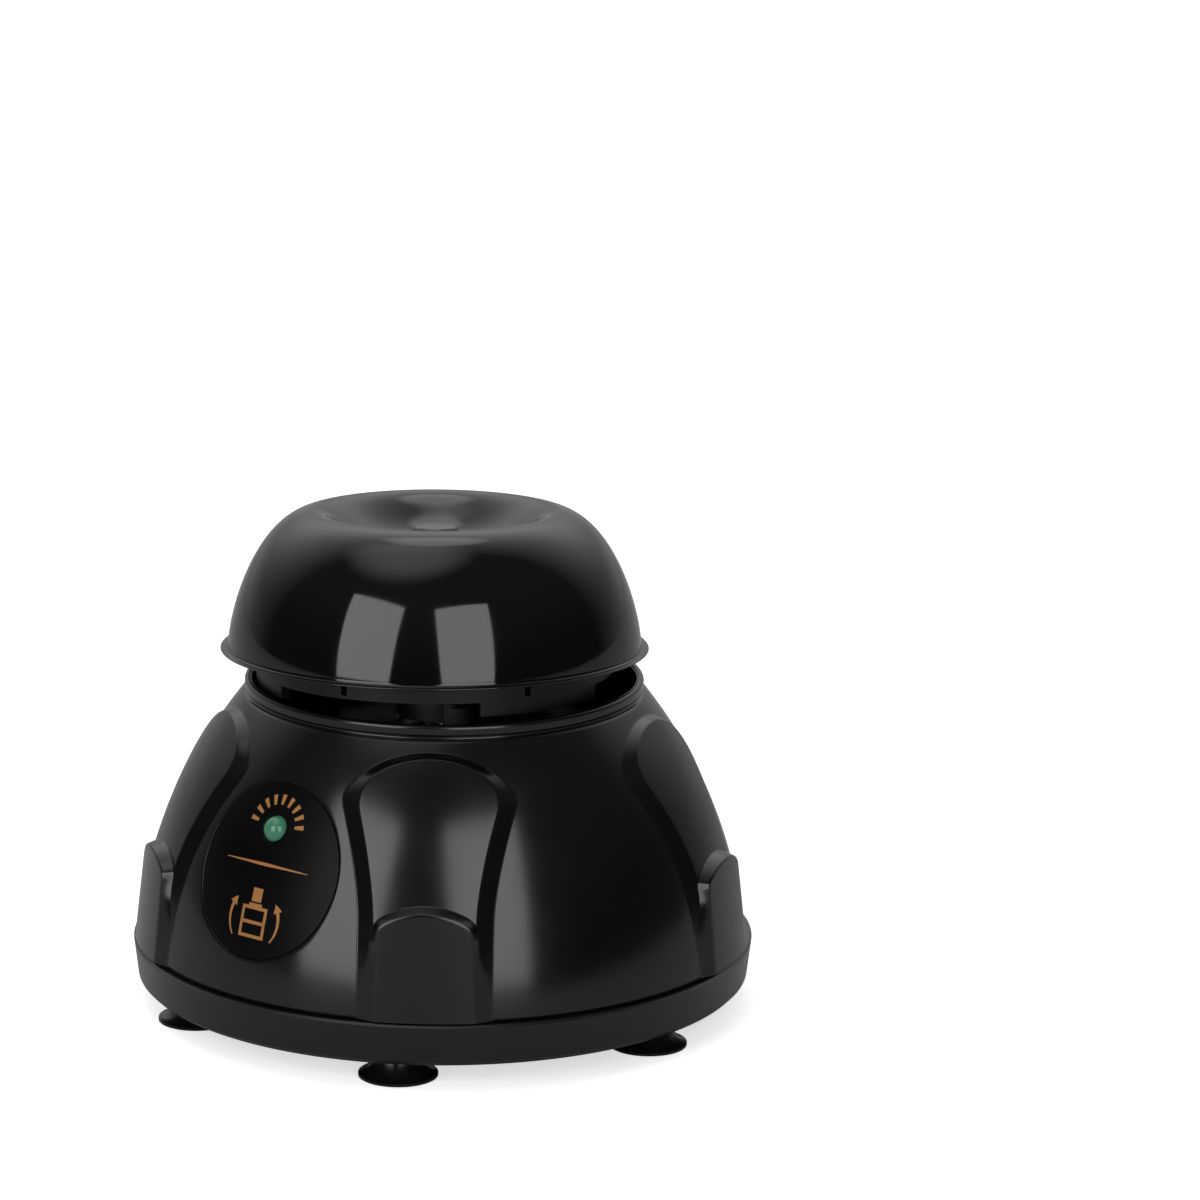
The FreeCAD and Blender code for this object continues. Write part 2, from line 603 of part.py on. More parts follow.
def suction_foot(azimuth, name):
    """Flared cup with a waist through the tray floor and a knob that holds it there."""
    flare = Part.Arc(Vector(FOOT_RADIUS, 0, 0.5), Vector(FOOT_WAIST_RADIUS + 1.0, 0, 1.9),
                     Vector(FOOT_WAIST_RADIUS, 0, TRAY_BOTTOM_Z)).toShape()
    cup_depth = 1.3
    cup_radius = FOOT_RADIUS - 0.9
    knob_z = FLOOR_TOP_Z
    edges = [flare]
    edges += lines(rz((FOOT_WAIST_RADIUS, TRAY_BOTTOM_Z), (FOOT_STEM_RADIUS, TRAY_BOTTOM_Z),
                      (FOOT_STEM_RADIUS, knob_z), (FOOT_KNOB_RADIUS, knob_z),
                      (FOOT_KNOB_RADIUS, knob_z + FOOT_KNOB_HEIGHT * 0.5),
                      (FOOT_STEM_RADIUS * 0.8, knob_z + FOOT_KNOB_HEIGHT),
                      (0, knob_z + FOOT_KNOB_HEIGHT), (0, cup_depth)))
    edges.append(cap_arc(cup_radius, 0, cup_depth))
    edges += lines(rz((cup_radius, 0), (FOOT_RADIUS, 0), (FOOT_RADIUS, 0.5)))
    x, y = on_circle(FOOT_CIRCLE, azimuth)
    save(name, revolved(edges).translated(Vector(x, y, 0)))


def pan_screw(shank_radius, shank_length, head_radius, head_height):
    """Screw pointing up, its head's seat at z = 0 and its head below."""
    edge = -head_height * 0.45
    edges = lines(rz((0, shank_length), (shank_radius * 0.7, shank_length),
                     (shank_radius, shank_length - shank_radius * 0.6), (shank_radius, 0),
                     (head_radius, 0), (head_radius, edge)))
    edges.append(cap_arc(head_radius, edge, -head_height - edge))
    edges += lines(rz((0, -head_height), (0, shank_length)))
    screw = revolved(edges)
    wide = head_radius * 1.1
    deep = head_height * 0.55
    cross = [Part.makeBox(wide, wide * 0.24, deep, Vector(-wide / 2, -wide * 0.12, -head_height)),
             Part.makeBox(wide * 0.24, wide, deep, Vector(-wide * 0.12, -wide / 2, -head_height))]
    return screw.cut(cross)


def fasteners():
    length = 9.0
    seat = TRAY_BOTTOM_Z + SCREW_HEAD_HEIGHT + 0.8
    screws = []
    for azimuth in COLUMN_AZIMUTHS:
        x, y = on_circle(COLUMN_CIRCLE, azimuth)
        screw = pan_screw(SCREW_RADIUS, length, SCREW_HEAD_RADIUS, SCREW_HEAD_HEIGHT)
        screws.append(screw.translated(Vector(x, y, seat)))
    save("tray_screws", *screws)
    screws = []
    reach = NECK_Z - 3.0 - PLATE_BOTTOM_Z
    for azimuth in spread(MOUNT_COUNT, MOUNT_FIRST):
        x, y = on_circle(MOUNT_CIRCLE, azimuth)
        screw = pan_screw(SCREW_RADIUS, reach, SCREW_HEAD_RADIUS, SCREW_HEAD_HEIGHT)
        screws.append(screw.translated(Vector(x, y, PLATE_BOTTOM_Z)))
    save("plate_screws", *screws)


def motor():
    top = PLATE_BOTTOM_Z
    bottom = top - MOTOR_LENGTH
    cap_top = bottom + MOTOR_CAP_HEIGHT
    round_ = 1.2
    can = turned((0, cap_top), (MOTOR_RADIUS, cap_top), (MOTOR_RADIUS, top - round_),
                 (MOTOR_RADIUS - round_, top), (MOTOR_BOSS_RADIUS, top),
                 (MOTOR_BOSS_RADIUS, MOTOR_BOSS_TOP_Z), (0, MOTOR_BOSS_TOP_Z))
    holes = [cylinder(SHAFT_RADIUS + FIT, MOTOR_BOSS_TOP_Z - SHAFT_INSIDE - SLIP, MOTOR_BOSS_TOP_Z)]
    for x in (-MOTOR_SCREW_SPACING / 2, MOTOR_SCREW_SPACING / 2):
        holes.append(cylinder(SCREW_RADIUS + FIT, top - 4.0, top, x, 0))
    save("motor_can", can.cut(holes))
    cap = turned((0, bottom + 1.0), (4.0, bottom + 1.0), (4.0, bottom - 1.5), (5.5, bottom - 1.5),
                 (5.5, bottom), (MOTOR_RADIUS - 1.0, bottom), (MOTOR_RADIUS - 0.4, cap_top), (0, cap_top))
    save("motor_end_cap", cap)
    tabs = [Part.makeBox(0.6, 3.0, 6.0, Vector(x - 0.3, -1.5, bottom - 6.0)) for x in (-9.0, 9.0)]
    save("motor_terminals", *tabs)
    screws = []
    for x in (-MOTOR_SCREW_SPACING / 2, MOTOR_SCREW_SPACING / 2):
        screw = pan_screw(SCREW_RADIUS, PLATE_THICKNESS + 3.0, SCREW_HEAD_RADIUS, SCREW_HEAD_HEIGHT)
        screw.rotate(ORIGIN, Vector(1, 0, 0), 180)
        screws.append(screw.translated(Vector(x, 0, PLATE_TOP_Z)))
    save("motor_screws", *screws)


def motor_plate():
    plate = cylinder(PLATE_RADIUS, PLATE_BOTTOM_Z, PLATE_TOP_Z)
    holes = [cylinder(MOTOR_BOSS_RADIUS + FIT, PLATE_BOTTOM_Z, PLATE_TOP_Z)]
    for azimuth in spread(MOUNT_COUNT, MOUNT_FIRST):
        x, y = on_circle(MOUNT_CIRCLE, azimuth)
        holes.append(cylinder(SCREW_RADIUS + SLIP, PLATE_BOTTOM_Z, PLATE_TOP_Z, x, y))
        save("isolator_" + str(int(azimuth // 90) + 1),
             tube(ISOLATOR_RADIUS, SCREW_RADIUS + SLIP, PLATE_TOP_Z, MOUNT_BOSS_Z, x, y))
    for x in (-MOTOR_SCREW_SPACING / 2, MOTOR_SCREW_SPACING / 2):
        holes.append(cylinder(SCREW_RADIUS + SLIP, PLATE_BOTTOM_Z, PLATE_TOP_Z, x, 0))
    for number, azimuth in enumerate(spread(POST_COUNT, POST_FIRST), 1):
        x, y = on_circle(POST_CIRCLE, azimuth)
        holes.append(cylinder(POST_RADIUS, PLATE_BOTTOM_Z, PLATE_TOP_Z, x, y))
        post = turned((0, PLATE_BOTTOM_Z), (POST_RADIUS, PLATE_BOTTOM_Z), (POST_RADIUS, PLATE_TOP_Z),
                      (POST_SLEEVE_RADIUS, PLATE_TOP_Z), (POST_SLEEVE_RADIUS, POST_COLLAR_Z),
                      (POST_RADIUS, POST_COLLAR_Z), (POST_RADIUS, POST_TOP_Z - 0.5),
                      (POST_RADIUS - 0.5, POST_TOP_Z), (0, POST_TOP_Z))
        save("guide_post_" + str(number), post.translated(Vector(x, y, 0)))
        sleeve = tube(POST_SLEEVE_RADIUS, POST_RADIUS, POST_COLLAR_Z, POST_TOP_Z - 0.6, x, y)
        save("post_sleeve_" + str(number), sleeve)
    for azimuth in spread(POST_COUNT):
        x, y = on_circle(POST_CIRCLE + 1.0, azimuth)
        holes.append(cylinder(5.0, PLATE_BOTTOM_Z, PLATE_TOP_Z, x, y))
    save("motor_plate", plate.cut(holes))


def rotor():
    """Motor shaft, the eccentric pressed on it, its counterweight and the crank pin."""
    bore = SHAFT_RADIUS + FIT
    chamfer = 0.4
    shaft_bottom = MOTOR_BOSS_TOP_Z - SHAFT_INSIDE
    shaft_top = MOTOR_BOSS_TOP_Z + SHAFT_REACH
    shaft = turned((0, shaft_bottom), (SHAFT_RADIUS, shaft_bottom), (SHAFT_RADIUS, shaft_top - chamfer),
                   (SHAFT_RADIUS - chamfer, shaft_top), (0, shaft_top))
    save("motor_shaft", shaft)
    pin_top = BEARING_TOP_Z + HUB_CAVITY - 1.0
    groove_z = BEARING_TOP_Z
    groove = PIN_GROOVE_DEPTH
    root_z = ECCENTRIC_TOP_Z - PIN_ROOT_DEPTH
    body = cylinder(ECCENTRIC_RADIUS, ECCENTRIC_BOTTOM_Z, ECCENTRIC_TOP_Z)
    pin = turned((0, root_z), (PIN_SHOULDER_RADIUS - 0.4, root_z),
                 (PIN_SHOULDER_RADIUS - 0.4, ECCENTRIC_TOP_Z),
                 (PIN_SHOULDER_RADIUS, ECCENTRIC_TOP_Z), (PIN_SHOULDER_RADIUS, BEARING_SEAT_Z),
                 (PIN_RADIUS, BEARING_SEAT_Z), (PIN_RADIUS, groove_z), (PIN_RADIUS - groove, groove_z),
                 (PIN_RADIUS - groove, groove_z + 0.8), (PIN_RADIUS, groove_z + 0.8),
                 (PIN_RADIUS, pin_top - 0.4), (PIN_RADIUS - 0.4, pin_top), (0, pin_top))
    screw_z = ECCENTRIC_BOTTOM_Z + WEIGHT_SEAT + WEIGHT_HEIGHT + 2.0
    side_hole = Part.makeCylinder(1.25, ECCENTRIC_RADIUS, Vector(0, 0, screw_z), Vector(1, 0, 0))
    shaft_hole = cylinder(bore, ECCENTRIC_BOTTOM_Z, shaft_top + SLIP)
    eccentric = body.fuse(on_crank(pin)).cut([shaft_hole, side_hole]).removeSplitter()
    save("eccentric_hub", eccentric)
    set_screw = Part.makeCylinder(1.2, ECCENTRIC_RADIUS - bore - 0.4, Vector(bore + FIT, 0, screw_z), Vector(1, 0, 0))
    socket = Part.makeCylinder(0.6, 1.2, Vector(ECCENTRIC_RADIUS - 1.5, 0, screw_z), Vector(1, 0, 0))
    save("set_screw", set_screw.cut(socket))
    low = ECCENTRIC_BOTTOM_Z + WEIGHT_SEAT
    weight = tube(WEIGHT_RADIUS, ECCENTRIC_RADIUS, low, low + WEIGHT_HEIGHT)
    behind = Part.makeBox(4 * WEIGHT_RADIUS, 2 * WEIGHT_RADIUS, WEIGHT_HEIGHT,
                          Vector(-2 * WEIGHT_RADIUS, 0.0, low))
    collar = tube(ECCENTRIC_RADIUS + 2.0, ECCENTRIC_RADIUS, low, low + WEIGHT_HEIGHT)
    weight = weight.common(behind).fuse(collar).removeSplitter()
    weight.rotate(ORIGIN, UP, THROW_AZIMUTH)
    save("counterweight", weight)
    clip = tube(PIN_RADIUS + 1.6, PIN_RADIUS - groove + FIT, groove_z + FIT, groove_z + 0.7)
    mouth = Part.makeBox(8.0, 2.4, 2.0, Vector(0, -1.2, groove_z - 0.5))
    save("pin_circlip", on_crank(clip.cut(mouth)))


def bearing():
    middle = (PIN_RADIUS + BEARING_OUTER_RADIUS) / 2
    inner_land = middle - 1.4
    outer_land = middle + 1.4
    track = Part.makeTorus(middle, BEARING_BALL_RADIUS + FIT, Vector(0, 0, BEARING_CENTRE_Z), UP)
    inner = tube(inner_land, PIN_RADIUS, BEARING_SEAT_Z, BEARING_TOP_Z).cut(track)
    outer = tube(BEARING_OUTER_RADIUS, outer_land, BEARING_SEAT_Z, BEARING_TOP_Z).cut(track)
    save("bearing_inner_race", on_crank(inner))
    save("bearing_outer_race", on_crank(outer))
    balls = []
    for azimuth in spread(BEARING_BALL_COUNT):
        x, y = on_circle(middle, azimuth)
        balls.append(on_crank(Part.makeSphere(BEARING_BALL_RADIUS, Vector(x, y, BEARING_CENTRE_Z))))
    save("bearing_balls", *balls)


def dish_height(r):
    """Height of the dish's surface at radius r: flat floor, then a rise to the crest."""
    share = (r - DISH_FLOOR_RADIUS) / (CREST_RADIUS - DISH_FLOOR_RADIUS)
    share = min(1.0, max(0.0, share))
    return DISH_FLOOR_Z + DISH_DEPTH * (1 - math.cos(math.pi * share ** DISH_SKEW)) / 2


def bowl_point(offset, angle):
    """Point of the bowl's side, moved inwards by offset; angle 0 at the rim, 90 at the crest."""
    a = HEAD_RIM_RADIUS - CREST_RADIUS - offset
    b = CREST_Z - HEAD_RIM_Z - offset
    angle = math.radians(angle)
    rise = math.sin(angle) ** (2 / BOWL_POWER)
    return Vector(CREST_RADIUS + a * math.cos(angle), 0, HEAD_RIM_Z + b * rise)


def bowl_solid(offset, lip):
    """The bowl as a full solid, its surface moved inwards by offset."""
    start = 7.0 if lip else 0.0
    side = [bowl_point(offset, a) for a in steps(start, 90.0, 10)]
    dish = [Vector(r, 0, dish_height(r) - offset) for r in steps(CREST_RADIUS, DISH_FLOOR_RADIUS, 8)]
    edges = [curve(side), curve(dish)]
    edges += lines([dish[-1], Vector(0, 0, dish[-1].z), Vector(0, 0, HEAD_RIM_Z)])
    if lip:
        rim = HEAD_RIM_RADIUS + HEAD_LIP
        edge_height = 0.45
        edges += lines(rz((0, HEAD_RIM_Z), (rim, HEAD_RIM_Z), (rim, HEAD_RIM_Z + edge_height)))
        flare = Part.Arc(Vector(rim, 0, HEAD_RIM_Z + edge_height),
                         Vector(HEAD_RIM_RADIUS + HEAD_LIP * 0.28, 0, HEAD_RIM_Z + edge_height + 0.42),
                         side[0]).toShape()
        edges.append(flare)
    else:
        edges += lines([Vector(0, 0, HEAD_RIM_Z), side[0]])
    return revolved(edges)


def head_shell():
    shell = bowl_solid(0, True).cut(bowl_solid(HEAD_WALL, False))
    inside = bowl_solid(HEAD_WALL / 2, False)
    bosses = []
    holes = [cylinder(CENTRE_SCREW_RADIUS + SLIP, DISH_UNDER_Z, DISH_FLOOR_Z)]
    for azimuth in spread(POST_COUNT):
        x, y = on_circle(HEAD_BOSS_CIRCLE, azimuth)
        bosses.append(cylinder(HEAD_BOSS_RADIUS, HEAD_BASE_TOP_Z, CREST_Z, x, y).common(inside))
        holes.append(cylinder(SCREW_RADIUS + FIT, HEAD_BASE_TOP_Z, HEAD_BASE_TOP_Z + 8.0, x, y))
    save("head_shell", on_crank(shell.fuse(bosses).cut(holes)))


def sector(inner, outer, bottom, top, start, sweep):
    """Part of a ring between two azimuths."""
    corners = rz((inner, bottom), (outer, bottom), (outer, top), (inner, top))
    face = Part.Face(Part.Wire(lines(corners + corners[:1])))
    return faced(face.revolve(ORIGIN, UP, sweep), start)


def head_base():
    """Plate that closes the bowl, with the bearing hub above it and the skirt below."""
    plate = cylinder(bowl_point(HEAD_WALL, 0).x - SLIP, HEAD_BASE_BOTTOM_Z, HEAD_BASE_TOP_Z)
    hub = cylinder(BEARING_OUTER_RADIUS + HUB_WALL, BEARING_SEAT_Z - HEAD_BASE_INSET, BEARING_TOP_Z + HUB_CAVITY + 2.0)
    boss = cylinder(HUB_BOSS_RADIUS, BEARING_TOP_Z, DISH_UNDER_Z)
    skirt = tube(SKIRT_RADIUS, SKIRT_RADIUS - SKIRT_WALL, SKIRT_Z, HEAD_BASE_BOTTOM_Z)
    tabs = [sector(SKIRT_RADIUS - SKIRT_WALL, SKIRT_RADIUS, SKIRT_TAB_Z, SKIRT_Z, start, SKIRT_TAB_SWEEP)
            for start in spread(3, SKIRT_TAB_START)]
    ribs = [faced(Part.makeBox(SKIRT_RADIUS - 1.0 - BEARING_OUTER_RADIUS - 1.0, 1.6, 3.0,
                               Vector(BEARING_OUTER_RADIUS + 1.0, -0.8, HEAD_BASE_TOP_Z)), azimuth)
            for azimuth in spread(6, 30.0)]
    solid = plate.fuse([hub, boss, skirt] + tabs + ribs)
    bore = BEARING_OUTER_RADIUS + FIT
    holes = [cylinder(bore, HEAD_RIM_Z - 5.0, BEARING_TOP_Z),
             cylinder(bore - 2.0, BEARING_TOP_Z, BEARING_TOP_Z + HUB_CAVITY),
             cylinder(CENTRE_SCREW_RADIUS + FIT, BEARING_TOP_Z + HUB_CAVITY, DISH_UNDER_Z)]
    nod = (BEARING_CENTRE_Z - HEAD_BASE_BOTTOM_Z) * math.tan(math.radians(LEAN))
    guide_hole = POST_SLEEVE_RADIUS + THROW + RUNNING + nod
    for azimuth in spread(POST_COUNT, POST_FIRST):
        x, y = on_circle(POST_CIRCLE, azimuth)
        holes.append(cylinder(guide_hole, HEAD_BASE_BOTTOM_Z, HEAD_BASE_TOP_Z, x, y))
    for azimuth in spread(POST_COUNT):
        x, y = on_circle(HEAD_BOSS_CIRCLE, azimuth)
        holes.append(cylinder(SCREW_RADIUS + SLIP, HEAD_BASE_BOTTOM_Z, HEAD_BASE_TOP_Z, x, y))
    for azimuth in spread(SKIRT_SLOT_COUNT, SKIRT_SLOT_FIRST):
        slot = Part.makeBox(2 * SKIRT_WALL, SKIRT_SLOT_WIDTH, SKIRT_SLOT_HEIGHT,
                            Vector(SKIRT_RADIUS - 1.5 * SKIRT_WALL, -SKIRT_SLOT_WIDTH / 2, SKIRT_Z + 0.6))
        holes.append(faced(slot, azimuth))
    save("head_base", on_crank(solid.cut(holes)))


def head_fasteners():
    screws = []
    for azimuth in spread(POST_COUNT):
        x, y = on_circle(HEAD_BOSS_CIRCLE, azimuth)
        screw = pan_screw(SCREW_RADIUS, 8.0, SCREW_HEAD_RADIUS, SCREW_HEAD_HEIGHT)
        screws.append(on_crank(screw.translated(Vector(x, y, HEAD_BASE_BOTTOM_Z))))
    save("head_screws", *screws)
    washer_top = DISH_FLOOR_Z + CENTRE_WASHER_HEIGHT
    washer = tube(CENTRE_WASHER_RADIUS, CENTRE_SCREW_RADIUS + SLIP, DISH_FLOOR_Z, washer_top)
    save("centre_washer", on_crank(washer))
    reach = washer_top - BEARING_TOP_Z - HUB_CAVITY - 0.5
    screw = pan_screw(CENTRE_SCREW_RADIUS, reach, CENTRE_HEAD_RADIUS, CENTRE_HEAD_HEIGHT)
    screw.rotate(ORIGIN, Vector(1, 0, 0), 180)
    save("centre_screw", on_crank(screw.translated(Vector(0, 0, washer_top))))


def switch():
    seat = -SWITCH_SEAT_DEPTH
    flange_top = seat + SWITCH_FLANGE
    flange = box(SWITCH_WIDTH, SWITCH_HEIGHT, seat, flange_top, 0.8)
    body = box(SWITCH_BODY_WIDTH, SWITCH_BODY_HEIGHT, seat - SWITCH_BODY_DEPTH, seat)
    cavity = box(ROCKER_WIDTH + 2 * RUNNING, ROCKER_HEIGHT + 2 * RUNNING,
                 -ROCKER_PIVOT_DEPTH - ROCKER_DEPTH - 1.2, flange_top)
    pin_hole = Part.makeCylinder(ROCKER_PIN_RADIUS + FIT, SWITCH_BODY_WIDTH - 0.8,
                                 Vector(0, -SWITCH_BODY_WIDTH / 2 + 0.4, -ROCKER_PIVOT_DEPTH), Vector(0, 1, 0))
    save("switch_housing", switch_place(flange.fuse(body).cut([cavity, pin_hole]).removeSplitter()))
    back = seat - SWITCH_BODY_DEPTH
    tabs = [Part.makeBox(0.8, 3.6, 7.0, Vector(x - 0.4, -1.8, back - 7.0)) for x in (-3.6, 3.6)]
    save("switch_terminals", *[switch_place(tab) for tab in tabs])

    reach = ROCKER_HEIGHT / 2
    pivot_z = -ROCKER_PIVOT_DEPTH
    top = pivot_z + ROCKER_CROWN
    top_x = math.sqrt(reach ** 2 - ROCKER_CROWN ** 2)
    low = 0.22 * reach
    low_x = math.sqrt(reach ** 2 - low ** 2)
    dip = 0.5
    left_end = Part.Arc(Vector(-low_x, 0, pivot_z - low), Vector(-reach, 0, pivot_z),
                        Vector(-top_x, 0, top)).toShape()
    crown = Part.Arc(Vector(-top_x, 0, top), Vector(0, 0, top - dip), Vector(top_x, 0, top)).toShape()
    right_end = Part.Arc(Vector(top_x, 0, top), Vector(reach, 0, pivot_z),
                         Vector(low_x, 0, pivot_z - low)).toShape()
    keel = lines([Vector(low_x, 0, pivot_z - low), Vector(2.2, 0, pivot_z - ROCKER_DEPTH),
                  Vector(-2.2, 0, pivot_z - ROCKER_DEPTH), Vector(-low_x, 0, pivot_z - low)])
    face = Part.Face(Part.Wire([left_end, crown, right_end] + keel))
    rocker = face.extrude(Vector(0, ROCKER_WIDTH, 0)).translated(Vector(0, -ROCKER_WIDTH / 2, 0))
    pin_length = SWITCH_BODY_WIDTH - 1.2
    pin = Part.makeCylinder(ROCKER_PIN_RADIUS, pin_length, Vector(0, -pin_length / 2, pivot_z), Vector(0, 1, 0))
    rocker = rocker.fuse(pin)
    rocker.rotate(Vector(0, 0, pivot_z), Vector(0, 1, 0), ROCKER_TILT)
    save("rocker_button", switch_place(rocker))
    pivot = switch_place(Part.Vertex(Vector(0, 0, pivot_z))).Point
    print("rocker pivot", [round(v, 4) for v in pivot])


def power_inlet():
    seat = -JACK_SEAT_DEPTH
    front = seat + JACK_FLANGE_HEIGHT
    jack = turned((0, seat - JACK_BODY_LENGTH), (JACK_BODY_RADIUS, seat - JACK_BODY_LENGTH),
                  (JACK_BODY_RADIUS, seat), (JACK_FLANGE_RADIUS, seat),
                  (JACK_FLANGE_RADIUS, front - 0.3), (JACK_FLANGE_RADIUS - 0.3, front), (0, front))
    bore = cylinder(JACK_BORE_RADIUS, front - JACK_BORE_DEPTH, front)
    pin = cylinder(JACK_PIN_RADIUS, front - JACK_BORE_DEPTH, front - 1.5)
    save("dc_jack", jack_place(jack.cut(bore).fuse(pin)))
    nut_top = seat - HOUSING_WALL
    corners = [Vector(JACK_NUT_RADIUS * math.cos(math.radians(60 * i)),
                      JACK_NUT_RADIUS * math.sin(math.radians(60 * i)), nut_top - JACK_NUT_HEIGHT)
               for i in range(6)]
    nut = Part.Face(Part.makePolygon(corners + corners[:1])).extrude(Vector(0, 0, JACK_NUT_HEIGHT))
    hole = cylinder(JACK_BODY_RADIUS + FIT, nut_top - JACK_NUT_HEIGHT, nut_top)
    save("jack_nut", jack_place(nut.cut(hole)))
    back = seat - JACK_BODY_LENGTH
    tabs = [Part.makeBox(0.6, 2.4, 5.0, Vector(x - 0.3, -1.2, back - 5.0)) for x in (-1.8, 1.8)]
    save("jack_terminals", *[jack_place(tab) for tab in tabs])


def circuit_board():
    low = FLOOR_TOP_Z + BOARD_STANDOFF
    top = low + BOARD_THICKNESS
    board = Part.makeBox(BOARD_LENGTH, BOARD_WIDTH, BOARD_THICKNESS,
                         Vector(-BOARD_LENGTH / 2, BOARD_OFFSET - BOARD_WIDTH / 2, low))
    screws = []
    for x in (-BOARD_LENGTH / 2 + 3.0, BOARD_LENGTH / 2 - 3.0):
        board = board.cut(cylinder(SCREW_RADIUS + SLIP, low, top, x, BOARD_OFFSET))
        screw = pan_screw(SCREW_RADIUS, BOARD_THICKNESS + 3.0, SCREW_HEAD_RADIUS, SCREW_HEAD_HEIGHT)
        screw.rotate(ORIGIN, Vector(1, 0, 0), 180)
        screws.append(screw.translated(Vector(x, BOARD_OFFSET, top)))
    save("circuit_board", board)
    save("board_screws", *screws)
    terminal = Part.makeBox(10.0, 6.0, 8.0, Vector(-8.0, BOARD_OFFSET - 7.0, top))
    for x in (-5.5, -0.5):
        terminal = terminal.cut(cylinder(1.4, top + 5.0, top + 8.0, x, BOARD_OFFSET - 4.0))
    capacitor = cylinder(3.1, top, top + 9.0, 5.0, BOARD_OFFSET + 3.0)
    capacitor = capacitor.makeFillet(0.5, [e for e in capacitor.Edges if e.BoundBox.ZMin > top + 8.9])
    resistor = Part.makeCylinder(1.1, 6.0, Vector(-8.0, BOARD_OFFSET + 4.5, top + 1.1), Vector(1, 0, 0))
    save("board_parts", terminal, capacitor, resistor)


body_shell()
badge_plate()
lamp()
base_tray()
for number, foot_azimuth in enumerate(spread(FOOT_COUNT, FOOT_FIRST), 1):
    suction_foot(foot_azimuth, "suction_foot_" + str(number))
fasteners()
motor()
motor_plate()
rotor()
bearing()
head_shell()
head_base()
head_fasteners()
switch()
power_inlet()
circuit_board()
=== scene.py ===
import bpy
import bmesh
import math
from mathutils import Matrix, Vector

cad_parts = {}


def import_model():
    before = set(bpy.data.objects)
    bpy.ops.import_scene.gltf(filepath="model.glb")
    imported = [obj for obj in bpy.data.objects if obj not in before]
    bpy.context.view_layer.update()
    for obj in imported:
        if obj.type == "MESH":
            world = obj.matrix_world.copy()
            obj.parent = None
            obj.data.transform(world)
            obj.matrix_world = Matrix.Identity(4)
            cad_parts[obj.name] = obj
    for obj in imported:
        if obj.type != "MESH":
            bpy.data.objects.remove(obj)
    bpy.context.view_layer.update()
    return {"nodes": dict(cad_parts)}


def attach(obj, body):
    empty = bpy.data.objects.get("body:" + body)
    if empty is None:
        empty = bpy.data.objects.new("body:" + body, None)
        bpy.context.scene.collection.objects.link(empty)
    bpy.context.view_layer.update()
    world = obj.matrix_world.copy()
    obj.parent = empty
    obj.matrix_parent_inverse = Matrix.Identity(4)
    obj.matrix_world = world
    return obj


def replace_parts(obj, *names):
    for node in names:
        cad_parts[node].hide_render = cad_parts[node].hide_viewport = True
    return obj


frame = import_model()

# Sizes in millimetres; azimuths in degrees from -Y, the badge's side, towards +X.
MM = 0.001

# Dome of the housing, an arc turned about the upright axis, with its seam, neck and lip.
DOME_BASE = 56.6
DOME_ARC = 90.5
DOME_ARC_Z = 2.5
DOME_STEPS = 480
TRAY_RIM_Z = 12.4
SEAM_Z = 12.75
SEAM_DEPTH = 1.2
NECK_Z = 59.0
GROOVE_DEPTH = 0.7
LIP_TOP_Z = 61.8
LIP_OUTER = 37.04
LIP_INNER = 35.54
DOME_WALL = 2.2
ARC_AXIS = DOME_BASE - math.sqrt(DOME_ARC ** 2 - (TRAY_RIM_Z - DOME_ARC_Z) ** 2)

# Arches: a face raised by the relief, with a wall that slopes down over its run.
FIRST_ARCH = 36.0
ARCHES = 5
REAR = 180.0
RELIEF = 1.2
WALL_RUN = 3.0
SHOULDER_Z = 49.0
SHOULDER = 12.6
WAIST_Z = 30.0
WAIST = 9.0
FLARE = 1.6
ARCH_TOP_Z = 56.4
ARCH_SLOPE = 0.45
SPINE_Z = 44.0
LOW_RELIEF = 0.75

# Blocks under the arches.
BLOCK_TOP_Z = 32.3
BLOCK_CORNER_Z = 28.9
BLOCK_WIDTH = 8.5
BLOCK_FOOT = 9.1
BLOCK_PROUD = 1.25
BLOCK_FALL = 2.2
BLOCK_CORE = 44.0
BLOCK_SPREAD = 5.8
BLOCK_SPINE_Z = 24.0
LEDGE_SLOPE = 0.3
TAPER_Z = 18.0
TAPER = 2.6

# Badge with its lamp and print.
BADGE_Z = 35.6
BADGE_WIDTH = 31.0
BADGE_HEIGHT = 32.6
BADGE_SINK = 0.1
BADGE_GAP = 0.2
RECESS_DEPTH = 0.5
RECESS_EDGE = 0.14
PATCH_LOW_Z = 16.0
PATCH_HIGH_Z = 55.2
PATCH_COLUMNS = 31
PATCH_ROWS = 14
LAMP_Z = 42.6
LAMP_HOLE = 2.55
PRINT_OFFSET = -0.08
PRINT_LINE = 0.6

# Rear switch and power inlet.
SWITCH_Z = 43.5
SWITCH_CLEAR = (5.0, 7.2)
JACK_Z = 21.5
JACK_CLEAR = 5.4

# Head: bowl, dish, washer and cap, and how they sit on the crank.
HEAD_RIM_Z = 66.9
HEAD_RIM = 38.4
HEAD_LIP = 1.3
CREST_Z = 92.65
CREST = 22.5
BOWL_POWER = 1.55
BOWL_START = 3.6
DISH_DEPTH = 6.5
DISH_FLOOR = 6.6
DISH_SKEW = 1.3
WASHER_HEIGHT = 1.0
CAP_RADIUS = 4.2
CAP_HEIGHT = 2.85
CAP_SHANK = 2.0
CAP_SHANK_LENGTH = 12.0
THROW = 1.8
THROW_AZIMUTH = -50.5
LEAN = 3.0
PIVOT_Z = 69.8


# Shapes

def dome_r(z, offset=0.0):
    """Radius at height z of the dome, or of a surface parallel to it."""
    return ARC_AXIS + math.sqrt((DOME_ARC + offset) ** 2 - (z - DOME_ARC_Z) ** 2)


